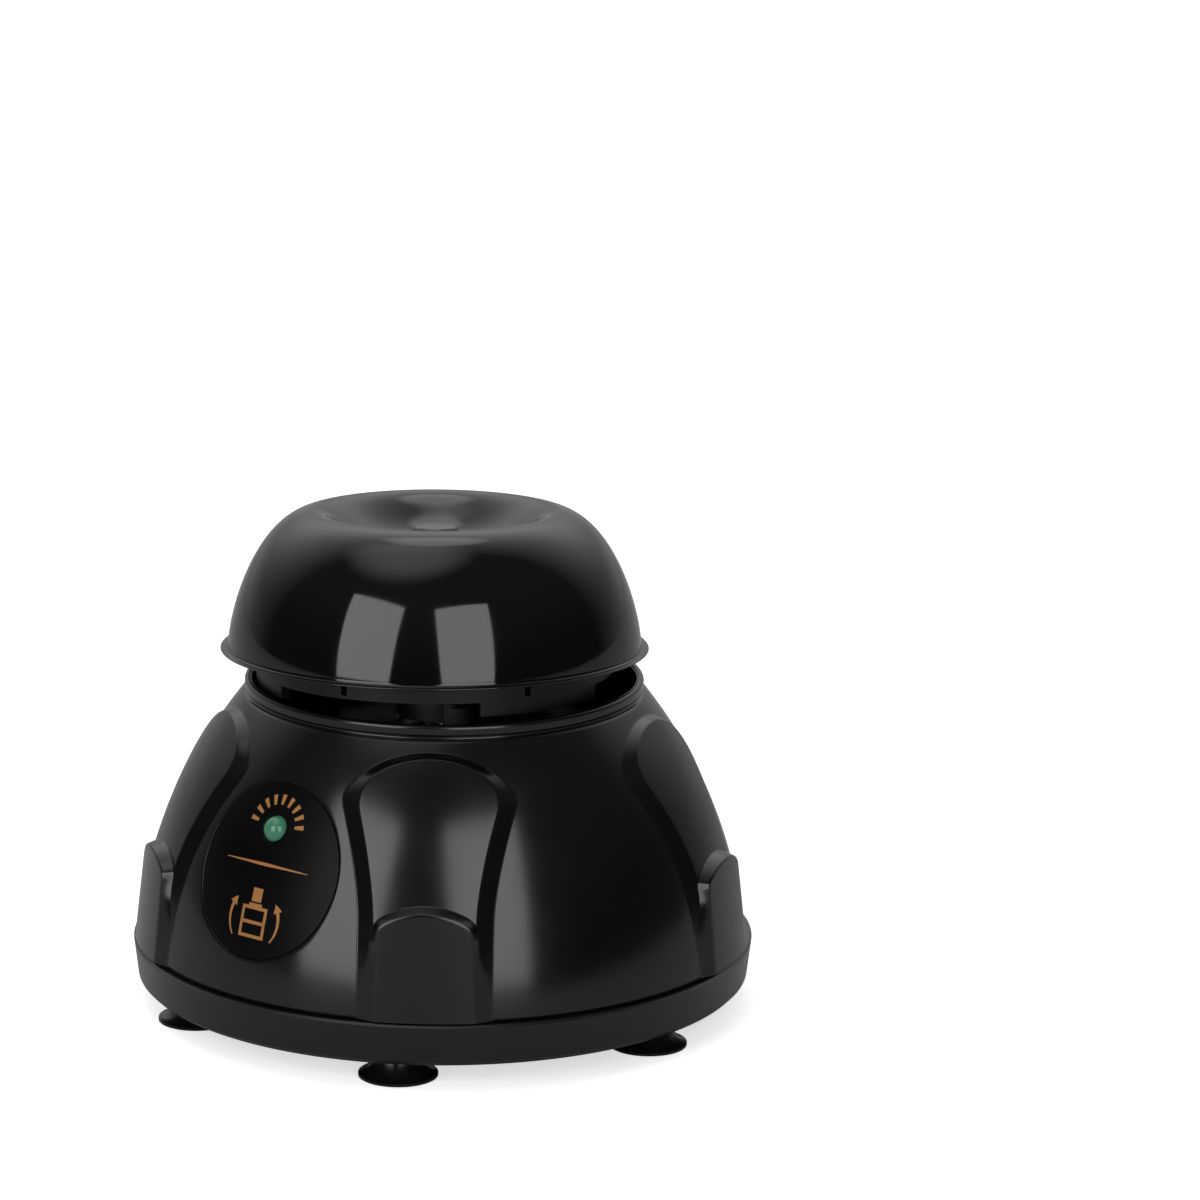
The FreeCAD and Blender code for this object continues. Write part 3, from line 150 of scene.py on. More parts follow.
def block_r(z):
    """Radius at height z of the blocks' faces."""
    return DOME_BASE + BLOCK_PROUD - BLOCK_FALL * (z - TRAY_RIM_Z) / (BLOCK_TOP_Z - TRAY_RIM_Z)


def out_at(azimuth):
    """Level direction outwards at an azimuth."""
    a = math.radians(azimuth)
    return Vector((math.sin(a), -math.cos(a), 0.0))


def turned(point, azimuth):
    """Turn a point of a shape made facing +X so that it faces the given azimuth."""
    a = math.radians(azimuth - 90.0)
    x, y, z = point
    return Vector((x * math.cos(a) - y * math.sin(a), x * math.sin(a) + y * math.cos(a), z))


def lerp(a, b, t):
    """Value a share t of the way from a to b."""
    return a + (b - a) * t


def spread(low, high, count):
    """Evenly spaced numbers from low to high."""
    return [lerp(low, high, i / (count - 1)) for i in range(count)]


def new_piece(name, bm, body, material):
    """Make an object from a bmesh in millimetres and let it ride on a body."""
    bmesh.ops.remove_doubles(bm, verts=bm.verts, dist=0.0004)
    bmesh.ops.recalc_face_normals(bm, faces=bm.faces)
    bmesh.ops.scale(bm, vec=(MM, MM, MM), verts=bm.verts)
    mesh = bpy.data.meshes.new(name)
    bm.to_mesh(mesh)
    bm.free()
    for face in mesh.polygons:
        face.use_smooth = True
    mesh.materials.append(material)
    piece = bpy.data.objects.new(name, mesh)
    bpy.context.scene.collection.objects.link(piece)
    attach(piece, body)
    return piece


def grid(bm, rows, close=False):
    """Join rows of points, all of one length, with quads; close joins each row's ends."""
    verts = [[bm.verts.new(p) for p in row] for row in rows]
    count = len(rows[0])
    for low, high in zip(verts, verts[1:]):
        for i in range(count if close else count - 1):
            j = (i + 1) % count
            bm.faces.new((low[i], low[j], high[j], high[i]))
    return verts


def lathe(bm, profile, steps, place=None):
    """Revolve (radius, height) points about Z; place moves each finished point."""
    rows = []
    for r, z in profile:
        row = []
        for i in range(steps):
            a = 2 * math.pi * i / steps
            p = Vector((r * math.cos(a), r * math.sin(a), z))
            row.append(place(p) if place else p)
        rows.append(row)
    return grid(bm, rows, close=True)


def arc(centre, radius, start, end, count):
    """Profile points on an arc, angles in degrees from the outward direction."""
    points = []
    for a in spread(start, end, count):
        a = math.radians(a)
        points.append((centre[0] + radius * math.cos(a), centre[1] + radius * math.sin(a)))
    return points


def straight(a, b, count):
    """Evenly spaced points from a to b, both given as pairs."""
    return [(lerp(a[0], b[0], t), lerp(a[1], b[1], t)) for t in spread(0.0, 1.0, count)]


def on_crank(p):
    """Lean about the bearing's centre and move out by the throw, as the head sits at rest."""
    lean = out_at(THROW_AZIMUTH - 90.0)
    turn = Matrix.Rotation(math.radians(LEAN), 3, Vector((-lean.y, lean.x, 0.0)))
    pivot = Vector((0.0, 0.0, PIVOT_Z))
    return turn @ (Vector(p) - pivot) + pivot + THROW * out_at(THROW_AZIMUTH)


def bowl_point(t):
    """Side of the head: t is 0 at the rim and 90 at the crest."""
    t = math.radians(t)
    rise = math.sin(t) ** (2 / BOWL_POWER)
    return CREST + (HEAD_RIM - CREST) * math.cos(t), HEAD_RIM_Z + (CREST_Z - HEAD_RIM_Z) * rise


def dish_point(r):
    """Profile of the dish, from its flat floor up to the crest."""
    share = min(1.0, max(0.0, (r - DISH_FLOOR) / (CREST - DISH_FLOOR)))
    return r, CREST_Z - DISH_DEPTH + DISH_DEPTH * (1 - math.cos(math.pi * share ** DISH_SKEW)) / 2


# Surface frames on the front of the dome

def front_frame(z):
    """Point on the front of the dome, with directions across, up the slope and outwards."""
    slope = math.asin((z - DOME_ARC_Z) / DOME_ARC)
    out = out_at(0.0)
    up = Vector((0.0, 0.0, 1.0))
    base = out * dome_r(z) + up * z
    return base, Vector((1.0, 0.0, 0.0)), up * math.cos(slope) - out * math.sin(slope), \
        out * math.cos(slope) + up * math.sin(slope)


BADGE_BASE, ACROSS, UPHILL, OUTWARD = front_frame(BADGE_Z)


def on_badge(s, t, offset):
    """Point above the badge's centre plane, dropped onto the dome and raised by offset."""
    p = BADGE_BASE + ACROSS * s + UPHILL * t
    for _ in range(6):
        radius = math.hypot(p.x, p.y)
        error = math.hypot(radius - ARC_AXIS, p.z - DOME_ARC_Z) - DOME_ARC - offset
        normal = Vector((p.x / radius, p.y / radius, 0.0)) * (radius - ARC_AXIS)
        normal.z = p.z - DOME_ARC_Z
        normal.normalize()
        p = p - OUTWARD * (error / normal.dot(OUTWARD))
    return p


def badge_oval(angle, grow=0.0):
    """Point (s, t) on the badge's outline, grown all round."""
    return (BADGE_WIDTH / 2 + grow) * math.cos(angle), (BADGE_HEIGHT / 2 + grow) * math.sin(angle)


# Materials

def linear(code):
    """Linear colour from an sRGB hex code."""
    parts = [int(code[i:i + 2], 16) / 255 for i in (0, 2, 4)]
    return [c / 12.92 if c <= 0.04045 else ((c + 0.055) / 1.055) ** 2.4 for c in parts] + [1.0]


def node(tree, kind, inputs=None, **settings):
    """Add a shader node; each input is a value or the socket that feeds it."""
    made = tree.nodes.new("ShaderNode" + kind)
    for key, value in settings.items():
        setattr(made, key, value)
    for key, value in (inputs or {}).items():
        if isinstance(value, bpy.types.NodeSocket):
            tree.links.new(value, made.inputs[key])
        else:
            made.inputs[key].default_value = value
    return made


MOTTLE = 9.0


def surface(name, colour, roughness, metallic=0.0, grain_mm=1.2, bump_mm=0.004, spread_=0.04,
            tint=0.12, **extra):
    """Material with mottled colour and roughness and a fine bump, all in real millimetres."""
    material = bpy.data.materials.new(name)
    material.use_nodes = True
    tree = material.node_tree
    shader = tree.nodes["Principled BSDF"]
    place = node(tree, "TexCoord").outputs["Object"]
    broad = node(tree, "TexNoise", {"Vector": place, "Scale": 1 / (MOTTLE * MM), "Detail": 3.0})
    fine = node(tree, "TexNoise", {"Vector": place, "Scale": 1 / (grain_mm * MM), "Detail": 4.0})
    base = linear(colour)[:3]
    dark = [c * (1 - tint) for c in base] + [1.0]
    light = [c * (1 + tint) for c in base] + [1.0]
    mixed = node(tree, "Mix", {0: broad.outputs["Fac"], 6: dark, 7: light}, data_type="RGBA")
    tree.links.new(mixed.outputs[2], shader.inputs["Base Color"])
    rough = node(tree, "MapRange", {
        "Value": broad.outputs["Fac"], "From Min": 0.3, "From Max": 0.7,
        "To Min": max(0.02, roughness - spread_), "To Max": roughness + spread_})
    tree.links.new(rough.outputs["Result"], shader.inputs["Roughness"])
    bump = node(tree, "Bump", {"Height": fine.outputs["Fac"], "Distance": bump_mm * MM})
    bump.inputs["Strength"].default_value = 1.0
    tree.links.new(bump.outputs["Normal"], shader.inputs["Normal"])
    shader.inputs["Metallic"].default_value = metallic
    for key, value in extra.items():
        shader.inputs[key.replace("_", " ")].default_value = value
    return material


# Semi-gloss black ABS of the housing, moulded with a very light texture.
HOUSING = surface("abs_black_semi_gloss", "0a0a0b", 0.175, grain_mm=1.4, bump_mm=0.0012,
                  spread_=0.02)
# The tray is the same plastic with a slightly duller surface; its colour is painted a shade
# lighter than the housing's, a painted reflection of the floor below.
TRAY = surface("abs_black_satin_lightened", "111112", 0.26, grain_mm=1.2, bump_mm=0.0015, spread_=0.02)
# High-gloss black ABS of the head.
HEAD = surface("abs_black_high_gloss", "080809", 0.07, grain_mm=3.0, bump_mm=0.001, spread_=0.02)
# Black plastic as moulded, for the pieces inside the gap.
INNER = surface("pp_black_as_moulded", "09090a", 0.42, bump_mm=0.002, Specular_IOR_Level=0.3)
# Suction feet: black rubber with a shiny skin.
RUBBER = surface("rubber_black_shiny", "0e0e0f", 0.2, bump_mm=0.006)
# Isolators and post sleeves: plain matt rubber.
RUBBER_MATT = surface("rubber_black_matt", "1a1a1b", 0.6, bump_mm=0.01)
# Badge plate: satin black film.
BADGE = surface("film_black_satin", "050506", 0.36, grain_mm=2.0, bump_mm=0.001,
                Specular_IOR_Level=0.1)
# Gold screen print on the badge.
PRINT = surface("ink_gold", "a06c36", 0.5, grain_mm=0.3, bump_mm=0.002)
# Pale green indicator lens.
LENS = surface("lens_pale_green", "3f7d61", 0.1, grain_mm=0.7, bump_mm=0.004)
# Cap in the dish: smooth grey plastic.
CAP = surface("pp_grey_smooth", "48484b", 0.25, bump_mm=0.002)
# Washer under it.
WASHER = surface("rubber_dark_grey", "2a2a2c", 0.45)
# Switch and inlet housings.
NYLON = surface("nylon_black_satin", "141415", 0.4)
# Zinc-plated screws.
ZINC = surface("steel_zinc_plated", "a9abb0", 0.3, metallic=1.0, grain_mm=0.5)
# Drawn steel can and shaft.
DRAWN = surface("steel_drawn", "a0a2a6", 0.26, metallic=1.0, grain_mm=0.6)
# Pressed sheet and posts, black oxide.
SHEET = surface("steel_black_oxide", "1d1e20", 0.42, metallic=1.0)
# Ground bearing steel.
GROUND = surface("steel_ground", "c2c3c6", 0.1, metallic=1.0, bump_mm=0.001)
# Sawn steel weight.
SAWN = surface("steel_sawn", "77787c", 0.42, metallic=1.0, grain_mm=0.4, bump_mm=0.01)
# Turned aluminium hub.
TURNED = surface("aluminium_turned", "c4c5c8", 0.24, metallic=1.0, grain_mm=0.3)
# Stamped brass tabs.
BRASS = surface("brass_stamped", "c2a05a", 0.25, metallic=1.0)
# Tinned lamp wires.
TINNED = surface("wire_tinned", "b8b9bb", 0.3, metallic=1.0)
# Natural nylon end cap.
NATURAL = surface("nylon_natural", "cfccc2", 0.45)
# Lacquered circuit board.
LACQUER = surface("board_lacquer_green", "16502b", 0.22)
# Moulded parts on the board.
MOULDED = surface("parts_blue_moulded", "1c2c52", 0.35)

NODE_MATERIALS = {
    "base_tray": TRAY, "head_base": INNER, "lamp_holder": INNER, "centre_washer": WASHER,
    "switch_housing": NYLON, "dc_jack": NYLON, "jack_nut": NYLON, "rocker_button": BADGE,
    "tray_screws": ZINC, "motor_screws": ZINC, "plate_screws": ZINC, "board_screws": ZINC,
    "head_screws": ZINC, "set_screw": ZINC, "pin_circlip": ZINC, "motor_can": DRAWN,
    "motor_shaft": DRAWN, "motor_plate": SHEET, "bearing_inner_race": GROUND,
    "bearing_outer_race": GROUND, "bearing_balls": GROUND, "counterweight": SAWN,
    "eccentric_hub": TURNED, "motor_terminals": BRASS, "switch_terminals": BRASS,
    "jack_terminals": BRASS, "lamp_leads": TINNED, "motor_end_cap": NATURAL,
    "circuit_board": LACQUER, "board_parts": MOULDED, "centre_screw": CAP,
    "body_shell": HOUSING, "head_shell": HEAD, "badge_plate": BADGE, "power_lamp": LENS,
}
for name, shape in frame["nodes"].items():
    if name.startswith("suction_foot"):
        material = RUBBER
    elif name.startswith(("isolator", "post_sleeve")):
        material = RUBBER_MATT
    elif name.startswith("guide_post"):
        material = SHEET
    else:
        material = NODE_MATERIALS[name]
    shape.data.materials.clear()
    shape.data.materials.append(material)


# Housing

def dome():
    """The dome's wall with an oval recess for the badge, the neck groove and the lip."""
    bm = bmesh.new()
    step = 360 / DOME_STEPS
    window = spread(PATCH_LOW_Z, PATCH_HIGH_Z, 99)
    heights = spread(SEAM_Z, PATCH_LOW_Z, 8)[:-1] + window + spread(PATCH_HIGH_Z, NECK_Z, 11)[1:]

    def at(azimuth, z):
        return out_at(azimuth) * dome_r(z) + Vector((0.0, 0.0, z))

    edge = PATCH_COLUMNS * step
    behind = [i * step for i in range(DOME_STEPS) if edge <= i * step <= 360 - edge]
    front = spread(-edge, edge, 2 * PATCH_COLUMNS + 1)
    grid(bm, [[at(a, z) for a in behind] for z in heights])
    grid(bm, [[at(a, z) for a in front] for z in heights if z <= PATCH_LOW_Z + 1e-6])
    grid(bm, [[at(a, z) for a in front] for z in heights if z >= PATCH_HIGH_Z - 1e-6])
    badge_patch(bm, at, edge, front, window)
    neck_and_seam(bm)
    return new_piece("housing_dome", bm, "base", HOUSING)


def badge_patch(bm, at, edge, front, window):
    """Front of the dome: rings that pass from a square border to the oval recess."""
    border = [(a, PATCH_LOW_Z) for a in front] + [(edge, z) for z in window[1:]]
    border += [(a, PATCH_HIGH_Z) for a in reversed(front[:-1])]
    border += [(-edge, z) for z in reversed(window[1:-1])]
    rows = [[at(a, z) for a, z in border]]
    flat = [((p - BADGE_BASE).dot(ACROSS), (p - BADGE_BASE).dot(UPHILL)) for p in rows[0]]
    angles = [math.atan2(t * BADGE_WIDTH, s * BADGE_HEIGHT) for s, t in flat]
    for i in range(1, PATCH_ROWS):
        share = i / PATCH_ROWS
        row = []
        for (s, t), angle in zip(flat, angles):
            oval_s, oval_t = badge_oval(angle, RECESS_EDGE)
            row.append(on_badge(lerp(s, oval_s, share), lerp(t, oval_t, share), 0.0))
        rows.append(row)
    rounding = [(RECESS_EDGE, 0.0), (0.07, -0.02), (0.02, -0.07), (0.0, -0.14)]
    for grow, offset in rounding + [(0.0, -RECESS_DEPTH), (-1.2, -RECESS_DEPTH)]:
        rows.append([on_badge(*badge_oval(angle, grow), offset) for angle in angles])
    grid(bm, rows, close=True)


def neck_and_seam(bm):
    """Groove and lip above the dome, and the step that hides the seam below it."""
    neck = dome_r(NECK_Z)
    profile = [(neck, NECK_Z)] + arc((neck - 0.12, NECK_Z - 0.02), 0.12, 10, 80, 4)
    groove = [(0.55, 0.14), (GROOVE_DEPTH, 0.3), (GROOVE_DEPTH, 0.6), (0.55, 0.8)]
    profile += [(neck - inward, NECK_Z + up) for inward, up in groove]
    lip_round = (LIP_OUTER - LIP_INNER) / 2
    lip_z = LIP_TOP_Z - lip_round
    profile += [(LIP_OUTER - 0.1, NECK_Z + 0.9), (LIP_OUTER, NECK_Z + 1.05)]
    profile += straight((LIP_OUTER, NECK_Z + 1.2), (LIP_OUTER, lip_z), 4)
    profile += arc(((LIP_OUTER + LIP_INNER) / 2, lip_z), lip_round, 0, 180, 15)[1:]
    profile += [(LIP_INNER, NECK_Z + 1.0), (LIP_INNER, NECK_Z - 1.0)]
    profile += [(dome_r(z, -DOME_WALL), z) for z in (56.0, 50.0)]
    lathe(bm, profile, DOME_STEPS)
    rim = dome_r(SEAM_Z)
    lathe(bm, [(rim, SEAM_Z), (rim - 0.15, SEAM_Z - 0.1), (rim - SEAM_DEPTH, SEAM_Z - 0.1),
               (rim - SEAM_DEPTH, TRAY_RIM_Z - 0.6)], DOME_STEPS)


def arch_side(z, foot):
    """Half the arch's width at height z, at its face or at the foot of its wall."""
    share = max(0.0, (z - WAIST_Z) / (SHOULDER_Z - WAIST_Z))
    return WAIST + (SHOULDER - WAIST) * share ** FLARE + (WALL_RUN if foot else 0.0)


def arch_top(share, foot):
    """Point (y, z) on the round top; share runs from -1 at the left shoulder to 1 at the right."""
    offset = 0.0 if foot else RELIEF
    face_x = math.sqrt(dome_r(SHOULDER_Z, RELIEF) ** 2 - SHOULDER ** 2)
    foot_x = math.sqrt(dome_r(SHOULDER_Z) ** 2 - (SHOULDER + WALL_RUN) ** 2)
    widening = WALL_RUN / (face_x - foot_x)
    apex_x = dome_r(ARCH_TOP_Z, RELIEF)
    y, z = 0.0, SHOULDER_Z
    for _ in range(12):
        x = math.sqrt(dome_r(z, offset) ** 2 - y ** 2)
        width = SHOULDER + widening * (face_x - x)
        rise = ARCH_TOP_Z + ARCH_SLOPE * (apex_x - x) - SHOULDER_Z
        radius = (width ** 2 + rise ** 2) / (2 * rise)
        angle = share * math.asin(width / radius)
        y, z = radius * math.sin(angle), SHOULDER_Z + rise - radius + radius * math.cos(angle)
    return y, z


def smoothed(points, passes):
    """Round the corners of a line of (y, z) points, leaving its ends."""
    for _ in range(passes):
        middle = [((a[0] + 2 * b[0] + c[0]) / 4, (a[1] + 2 * b[1] + c[1]) / 4)
                  for a, b, c in zip(points, points[1:], points[2:])]
        points = points[:1] + middle + points[-1:]
    return points


def ramp(s, crest, foot):
    """Height share of a rounded slope: s is 0 at its foot and 1 at its crest."""
    if s <= -foot:
        return 0.0
    if s < foot:
        return (s + foot) ** 2 / (4 * foot)
    if s < 1 - crest:
        return s
    if s < 1 + crest:
        return 1 - (1 + crest - s) ** 2 / (4 * crest)
    return 1.0


def upper_panel(azimuth, name):
    """Raised arch: a face parallel to the dome with a sloping wall round it."""
    rise = spread(SEAM_Z, SHOULDER_Z, 190)
    lines = []
    for foot, passes in ((False, 60), (True, 40)):
        line = [(-arch_side(z, foot), z) for z in rise]
        line += [arch_top(share, foot) for share in spread(-1.0, 1.0, 181)[1:-1]]
        line += [(arch_side(z, foot), z) for z in reversed(rise)]
        line = smoothed(line, passes)
        lines.append([line[round(i * (len(line) - 1) / 419)] for i in range(420)])
    face, foot = lines
    rows = []
    edge = spread(0.88, 1.14, 9)
    for s in [-0.2, -0.12] + spread(-0.08, 0.08, 5) + spread(0.1, 0.84, 9) + edge:
        row = []
        for f, g in zip(face, foot):
            steep = min(1.0, max(0.0, (f[1] - SHOULDER_Z - 1.0) / 4.0))
            height = ramp(0.5 + (s - 0.5) * (1.0 + 0.7 * steep), 0.13, 0.08) if s > -0.1 else -0.4
            row.append(panel_point(lerp(g[0], f[0], s), lerp(g[1], f[1], s), height, azimuth))
        rows.append(row)
    inner = [(lerp(g[0], f[0], edge[-1]), lerp(g[1], f[1], edge[-1])) for f, g in zip(face, foot)]
    for t in spread(0.0, 1.0, 18)[1:]:
        row = []
        for y, z in inner:
            spine = z if z < SPINE_Z else SPINE_Z + (z - SPINE_Z) * 0.55
            row.append(panel_point(lerp(y, 0.0, t), lerp(z, spine, t), 1.0, azimuth))
        rows.append(row)
    bm = bmesh.new()
    grid(bm, rows)
    if azimuth == REAR:
        clear_window(bm, SWITCH_Z, *SWITCH_CLEAR)
    return new_piece(name, bm, "base", HOUSING)


def panel_point(y, z, share, azimuth):
    """Point raised by a share of the relief, which thins out behind the block."""
    relief = RELIEF * min(1.0, lerp(LOW_RELIEF, 1.0, (z - SEAM_Z) / 8.0))
    return turned((math.sqrt(dome_r(z, relief * share) ** 2 - y ** 2), y, z), azimuth)


def clear_window(bm, z, half_across, half_up):
    """Take out the faces behind the switch, whose flange covers the edge of the gap."""
    slope = math.asin((z - DOME_ARC_Z) / DOME_ARC)
    gone = []
    for face in bm.faces:
        middle = face.calc_center_median()
        rise = (middle.z - z) / math.cos(slope)
        if abs(middle.x) < half_across and abs(rise) < half_up and middle.y > 0:
            gone.append(face)
    bmesh.ops.delete(bm, geom=gone, context="FACES")


def block_top(share):
    """Point (y, z) on the block's rounded top line; share is -1 and 1 at its corners."""
    y, z = 0.0, BLOCK_TOP_Z
    outer = DOME_BASE + 1.8
    for _ in range(10):
        x = math.sqrt(block_r(min(z, 34.0)) ** 2 - y ** 2)
        reach = (x - BLOCK_CORE) / (outer - BLOCK_CORE)
        width = lerp(BLOCK_WIDTH + BLOCK_SPREAD, BLOCK_WIDTH - 0.3, reach)
        rise = BLOCK_TOP_Z + LEDGE_SLOPE * (55.6 - x) - BLOCK_CORNER_Z
        radius = (width ** 2 + rise ** 2) / (2 * rise)
        y = share * BLOCK_WIDTH
        z = BLOCK_CORNER_Z + rise - radius + math.sqrt(radius ** 2 - y ** 2)
    return y, z


def block_walls(line, corner):
    """Foot (y, z, radius) of the wall below each point of the face's outline."""
    walls = []
    for i, (y, z) in enumerate(line):
        a, b = line[max(0, i - 1)], line[min(len(line) - 1, i + 1)]
        upness = abs(b[0] - a[0]) / max(1e-9, math.dist(a, b))
        upness = upness * upness * (3 - 2 * upness)
        near = min(1.0, max(0.0, (z - TAPER_Z) / (corner - TAPER_Z)))
        reach = WALL_RUN - TAPER * near * near * (3 - 2 * near)
        side_y = math.copysign(WAIST + reach, y if y else 1.0)
        side = (side_y, z, dome_r(z, RELIEF * (1 - reach / WALL_RUN) - 0.05))
        behind = dome_r(z + 0.8, RELIEF)
        ledge = (y * 1.06, z + LEDGE_SLOPE * (block_r(z) - behind), behind)
        walls.append(tuple(lerp(p, q, upness) for p, q in zip(side, ledge)))
    return walls


def lower_block(azimuth, name):
    """Upright block under an arch, with a sloping ledge and rounded top corners."""
    def at(radius, y, z):
        return turned((math.sqrt(radius ** 2 - y ** 2), y, z), azimuth)

    corner = block_top(1.0)[1]
    sides = straight((BLOCK_FOOT, SEAM_Z), (BLOCK_WIDTH, corner), 120)
    line = [(-y, z) for y, z in sides]
    line += [block_top(share) for share in spread(-1.0, 1.0, 121)[1:-1]]
    line = smoothed(line + sides[::-1], 45)
    walls = block_walls(line, corner)
    rows = []
    for s in [-0.3, -0.12] + spread(-0.08, 0.08, 4) + spread(0.1, 0.8, 8) + spread(0.84, 1.0, 8):
        share = ramp(s, 0.16, 0.08)
        row = []
        for (y, z), (wy, wz, wr) in zip(line, walls):
            radius = lerp(wr, block_r(z), share) if s > -0.1 else wr - 0.5
            row.append(at(radius, lerp(wy, y, s), lerp(wz, z, s)))
        rows.append(row)
    short = 1 - ramp(1.0, 0.16, 0.08)
    for t in spread(0.0, 1.0, 22)[1:]:
        row = []
        for (y, z), (wy, wz, wr) in zip(line, walls):
            spine = z if z < BLOCK_SPINE_Z else BLOCK_SPINE_Z + (z - BLOCK_SPINE_Z) * 0.5
            height = lerp(z, spine, t)
            radius = lerp(block_r(height), wr, short * max(0.0, 1 - t * 12) ** 2)
            row.append(at(radius, y * (1 - t), height))
        rows.append(row)
    bm = bmesh.new()
    grid(bm, rows)
    if azimuth == REAR:
        middles = [(face, face.calc_center_median()) for face in bm.faces]
        gone = [face for face, m in middles if math.hypot(m.x, m.z - JACK_Z) < JACK_CLEAR]
        bmesh.ops.delete(bm, geom=gone, context="FACES")
    return new_piece(name, bm, "base", HOUSING)


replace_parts(dome(), "body_shell")
for number in range(ARCHES):
    azimuth = FIRST_ARCH + 360.0 / ARCHES * number
    upper_panel(azimuth, "arch_panel_" + str(number + 1))
    lower_block(azimuth, "arch_block_" + str(number + 1))


# Badge, print and lamp

# The lamp's place up the badge from its centre.
LAMP_T = (LAMP_Z - BADGE_Z) / math.cos(math.asin((LAMP_Z - DOME_ARC_Z) / DOME_ARC))


def badge():
    """Thin plate in the recess, with rounded edges and a hole for the lamp."""
    angles = [2 * math.pi * i / 320 for i in range(320)]
    rim = [badge_oval(a, -BADGE_GAP) for a in angles]
    inner = [badge_oval(a, -BADGE_GAP - 0.08) for a in angles]
    hole = []
    for s, t in rim:
        away = Vector((s, t - LAMP_T)).normalized() * LAMP_HOLE
        hole.append((away.x, LAMP_T + away.y))
    rows = [[on_badge(s, t, offset) for s, t in rim] for offset in (-RECESS_DEPTH, -0.14)]
    for shrink, offset in ((0.01, -0.12), (0.04, -0.103), (0.08, -BADGE_SINK)):
        rows.append([on_badge(*badge_oval(a, -BADGE_GAP - shrink), offset) for a in angles])
    for share in spread(0.0, 1.0, 30)[1:]:
        rows.append([on_badge(lerp(a[0], b[0], share), lerp(a[1], b[1], share), -BADGE_SINK)
                     for a, b in zip(inner, hole)])
    rows.append([on_badge(s, t, -RECESS_DEPTH) for s, t in hole])
    bm = bmesh.new()
    grid(bm, rows, close=True)
    return new_piece("badge_face", bm, "base", BADGE)


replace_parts(badge(), "badge_plate")


def stroke(bm, line, widths):
    """Printed band along a line of (s, t) points on the badge."""
    count = len(line)
    left, right = [], []
    for i, (s, t) in enumerate(line):
        a, b = line[max(0, i - 1)], line[min(count - 1, i + 1)]
        run = math.dist(a, b)
        across = ((a[1] - b[1]) / run, (b[0] - a[0]) / run)
        half = lerp(widths[0], widths[1], i / (count - 1)) / 2
        left.append(on_badge(s + across[0] * half, t + across[1] * half, PRINT_OFFSET))
        right.append(on_badge(s - across[0] * half, t - across[1] * half, PRINT_OFFSET))
    grid(bm, [left, right])


def printing():
    """Plain pictogram: rays round the lamp, a rule, and a bottle between two turning arrows."""
    bm = bmesh.new()
    for angle in range(10, 180, 20):
        a = math.radians(angle)
        ends = [(r * math.cos(a), LAMP_T + r * math.sin(a)) for r in (4.3, 6.2)]
        stroke(bm, straight(*ends, 6), (0.55, 0.9))
    line = (PRINT_LINE, PRINT_LINE)
    for t in (-12.1, -9.6, -7.0):
        stroke(bm, straight((-2.9, t), (2.9, t), 12), line)
    stroke(bm, straight((-1.5, -6.5), (1.5, -6.5), 8), line)
    stroke(bm, straight((0.0, -5.9), (0.0, -3.4), 12), (2.2, 2.2))
    middle = (0.0, -9.0)
    for side in (-1, 1):
        stroke(bm, straight((side * 9.5, 1.0), (0.0, 1.0), 20), (0.15, PRINT_LINE))
        stroke(bm, straight((side * 2.6, -12.1), (side * 2.6, -7.0), 12), line)
        shaft = arc(middle, 5.6, -38, 22, 48)
        tip = arc(middle, 5.6, 22, 38, 8)
        stroke(bm, [(side * s, t) for s, t in shaft], (0.3, 0.7))
        stroke(bm, [(side * s, t) for s, t in tip], (1.9, 0.05))
    return new_piece("badge_print", bm, "base", PRINT)


printing()


# Head

def head():
    """Bowl with a thin flange round its rim and the dish in its top."""
    rim = HEAD_RIM + HEAD_LIP
    profile = [(34.0, HEAD_RIM_Z + 0.55), (34.6, HEAD_RIM_Z), (rim - 0.2, HEAD_RIM_Z)]
    profile += arc((rim - 0.16, HEAD_RIM_Z + 0.16), 0.16, -80, 80, 7)
    flange = [(0.4, 0.36), (0.18, 0.42), (0.05, 0.54)]
    profile += [(HEAD_RIM + out, HEAD_RIM_Z + up) for out, up in flange]
    profile += [bowl_point(t) for t in spread(BOWL_START, 90.0, 88)]
    profile += [dish_point(r) for r in spread(CREST, DISH_FLOOR, 50)[1:]]
    profile += [(r, CREST_Z - DISH_DEPTH) for r in (5.0, 2.2)]
    bm = bmesh.new()
    lathe(bm, profile, 480, on_crank)
    return new_piece("head_bowl", bm, "head", HEAD)


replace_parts(head(), "head_shell")


def cap():
    """Low round cap of the head's centre screw, standing on its washer."""
    seat = CREST_Z - DISH_DEPTH + WASHER_HEIGHT
    top = seat + CAP_HEIGHT
    low = seat - CAP_SHANK_LENGTH
    profile = [(0.0, low), (CAP_SHANK, low), (CAP_SHANK, seat), (CAP_RADIUS - 0.15, seat)]
    profile += [(CAP_RADIUS, seat + 0.15), (CAP_RADIUS, top - 1.1)]
    profile += arc((CAP_RADIUS - 0.9, top - 1.1), 0.9, 0, 80, 12)[1:]
    profile += [(r, top - 0.2 * (r / CAP_RADIUS) ** 2) for r in spread(CAP_RADIUS - 1.1, 0.0, 12)]
    bm = bmesh.new()
    lathe(bm, profile, 160, on_crank)
    return new_piece("centre_cap", bm, "head", CAP)


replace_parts(cap(), "centre_screw")


# Camera and stage

CAMERA_AZIMUTH = 39.5
CAMERA_ELEVATION = 15.7
CAMERA_DISTANCE = 930.0
TARGET_Z = 45.0
# In pixels of the photograph: its width, the focal length and where the target appears.
FRAME = 1200.0
FOCAL = 4978.0
AIM_X, AIM_Y = 444.8, 761.0
ROLL = 0.0120
SENSOR = 36.0


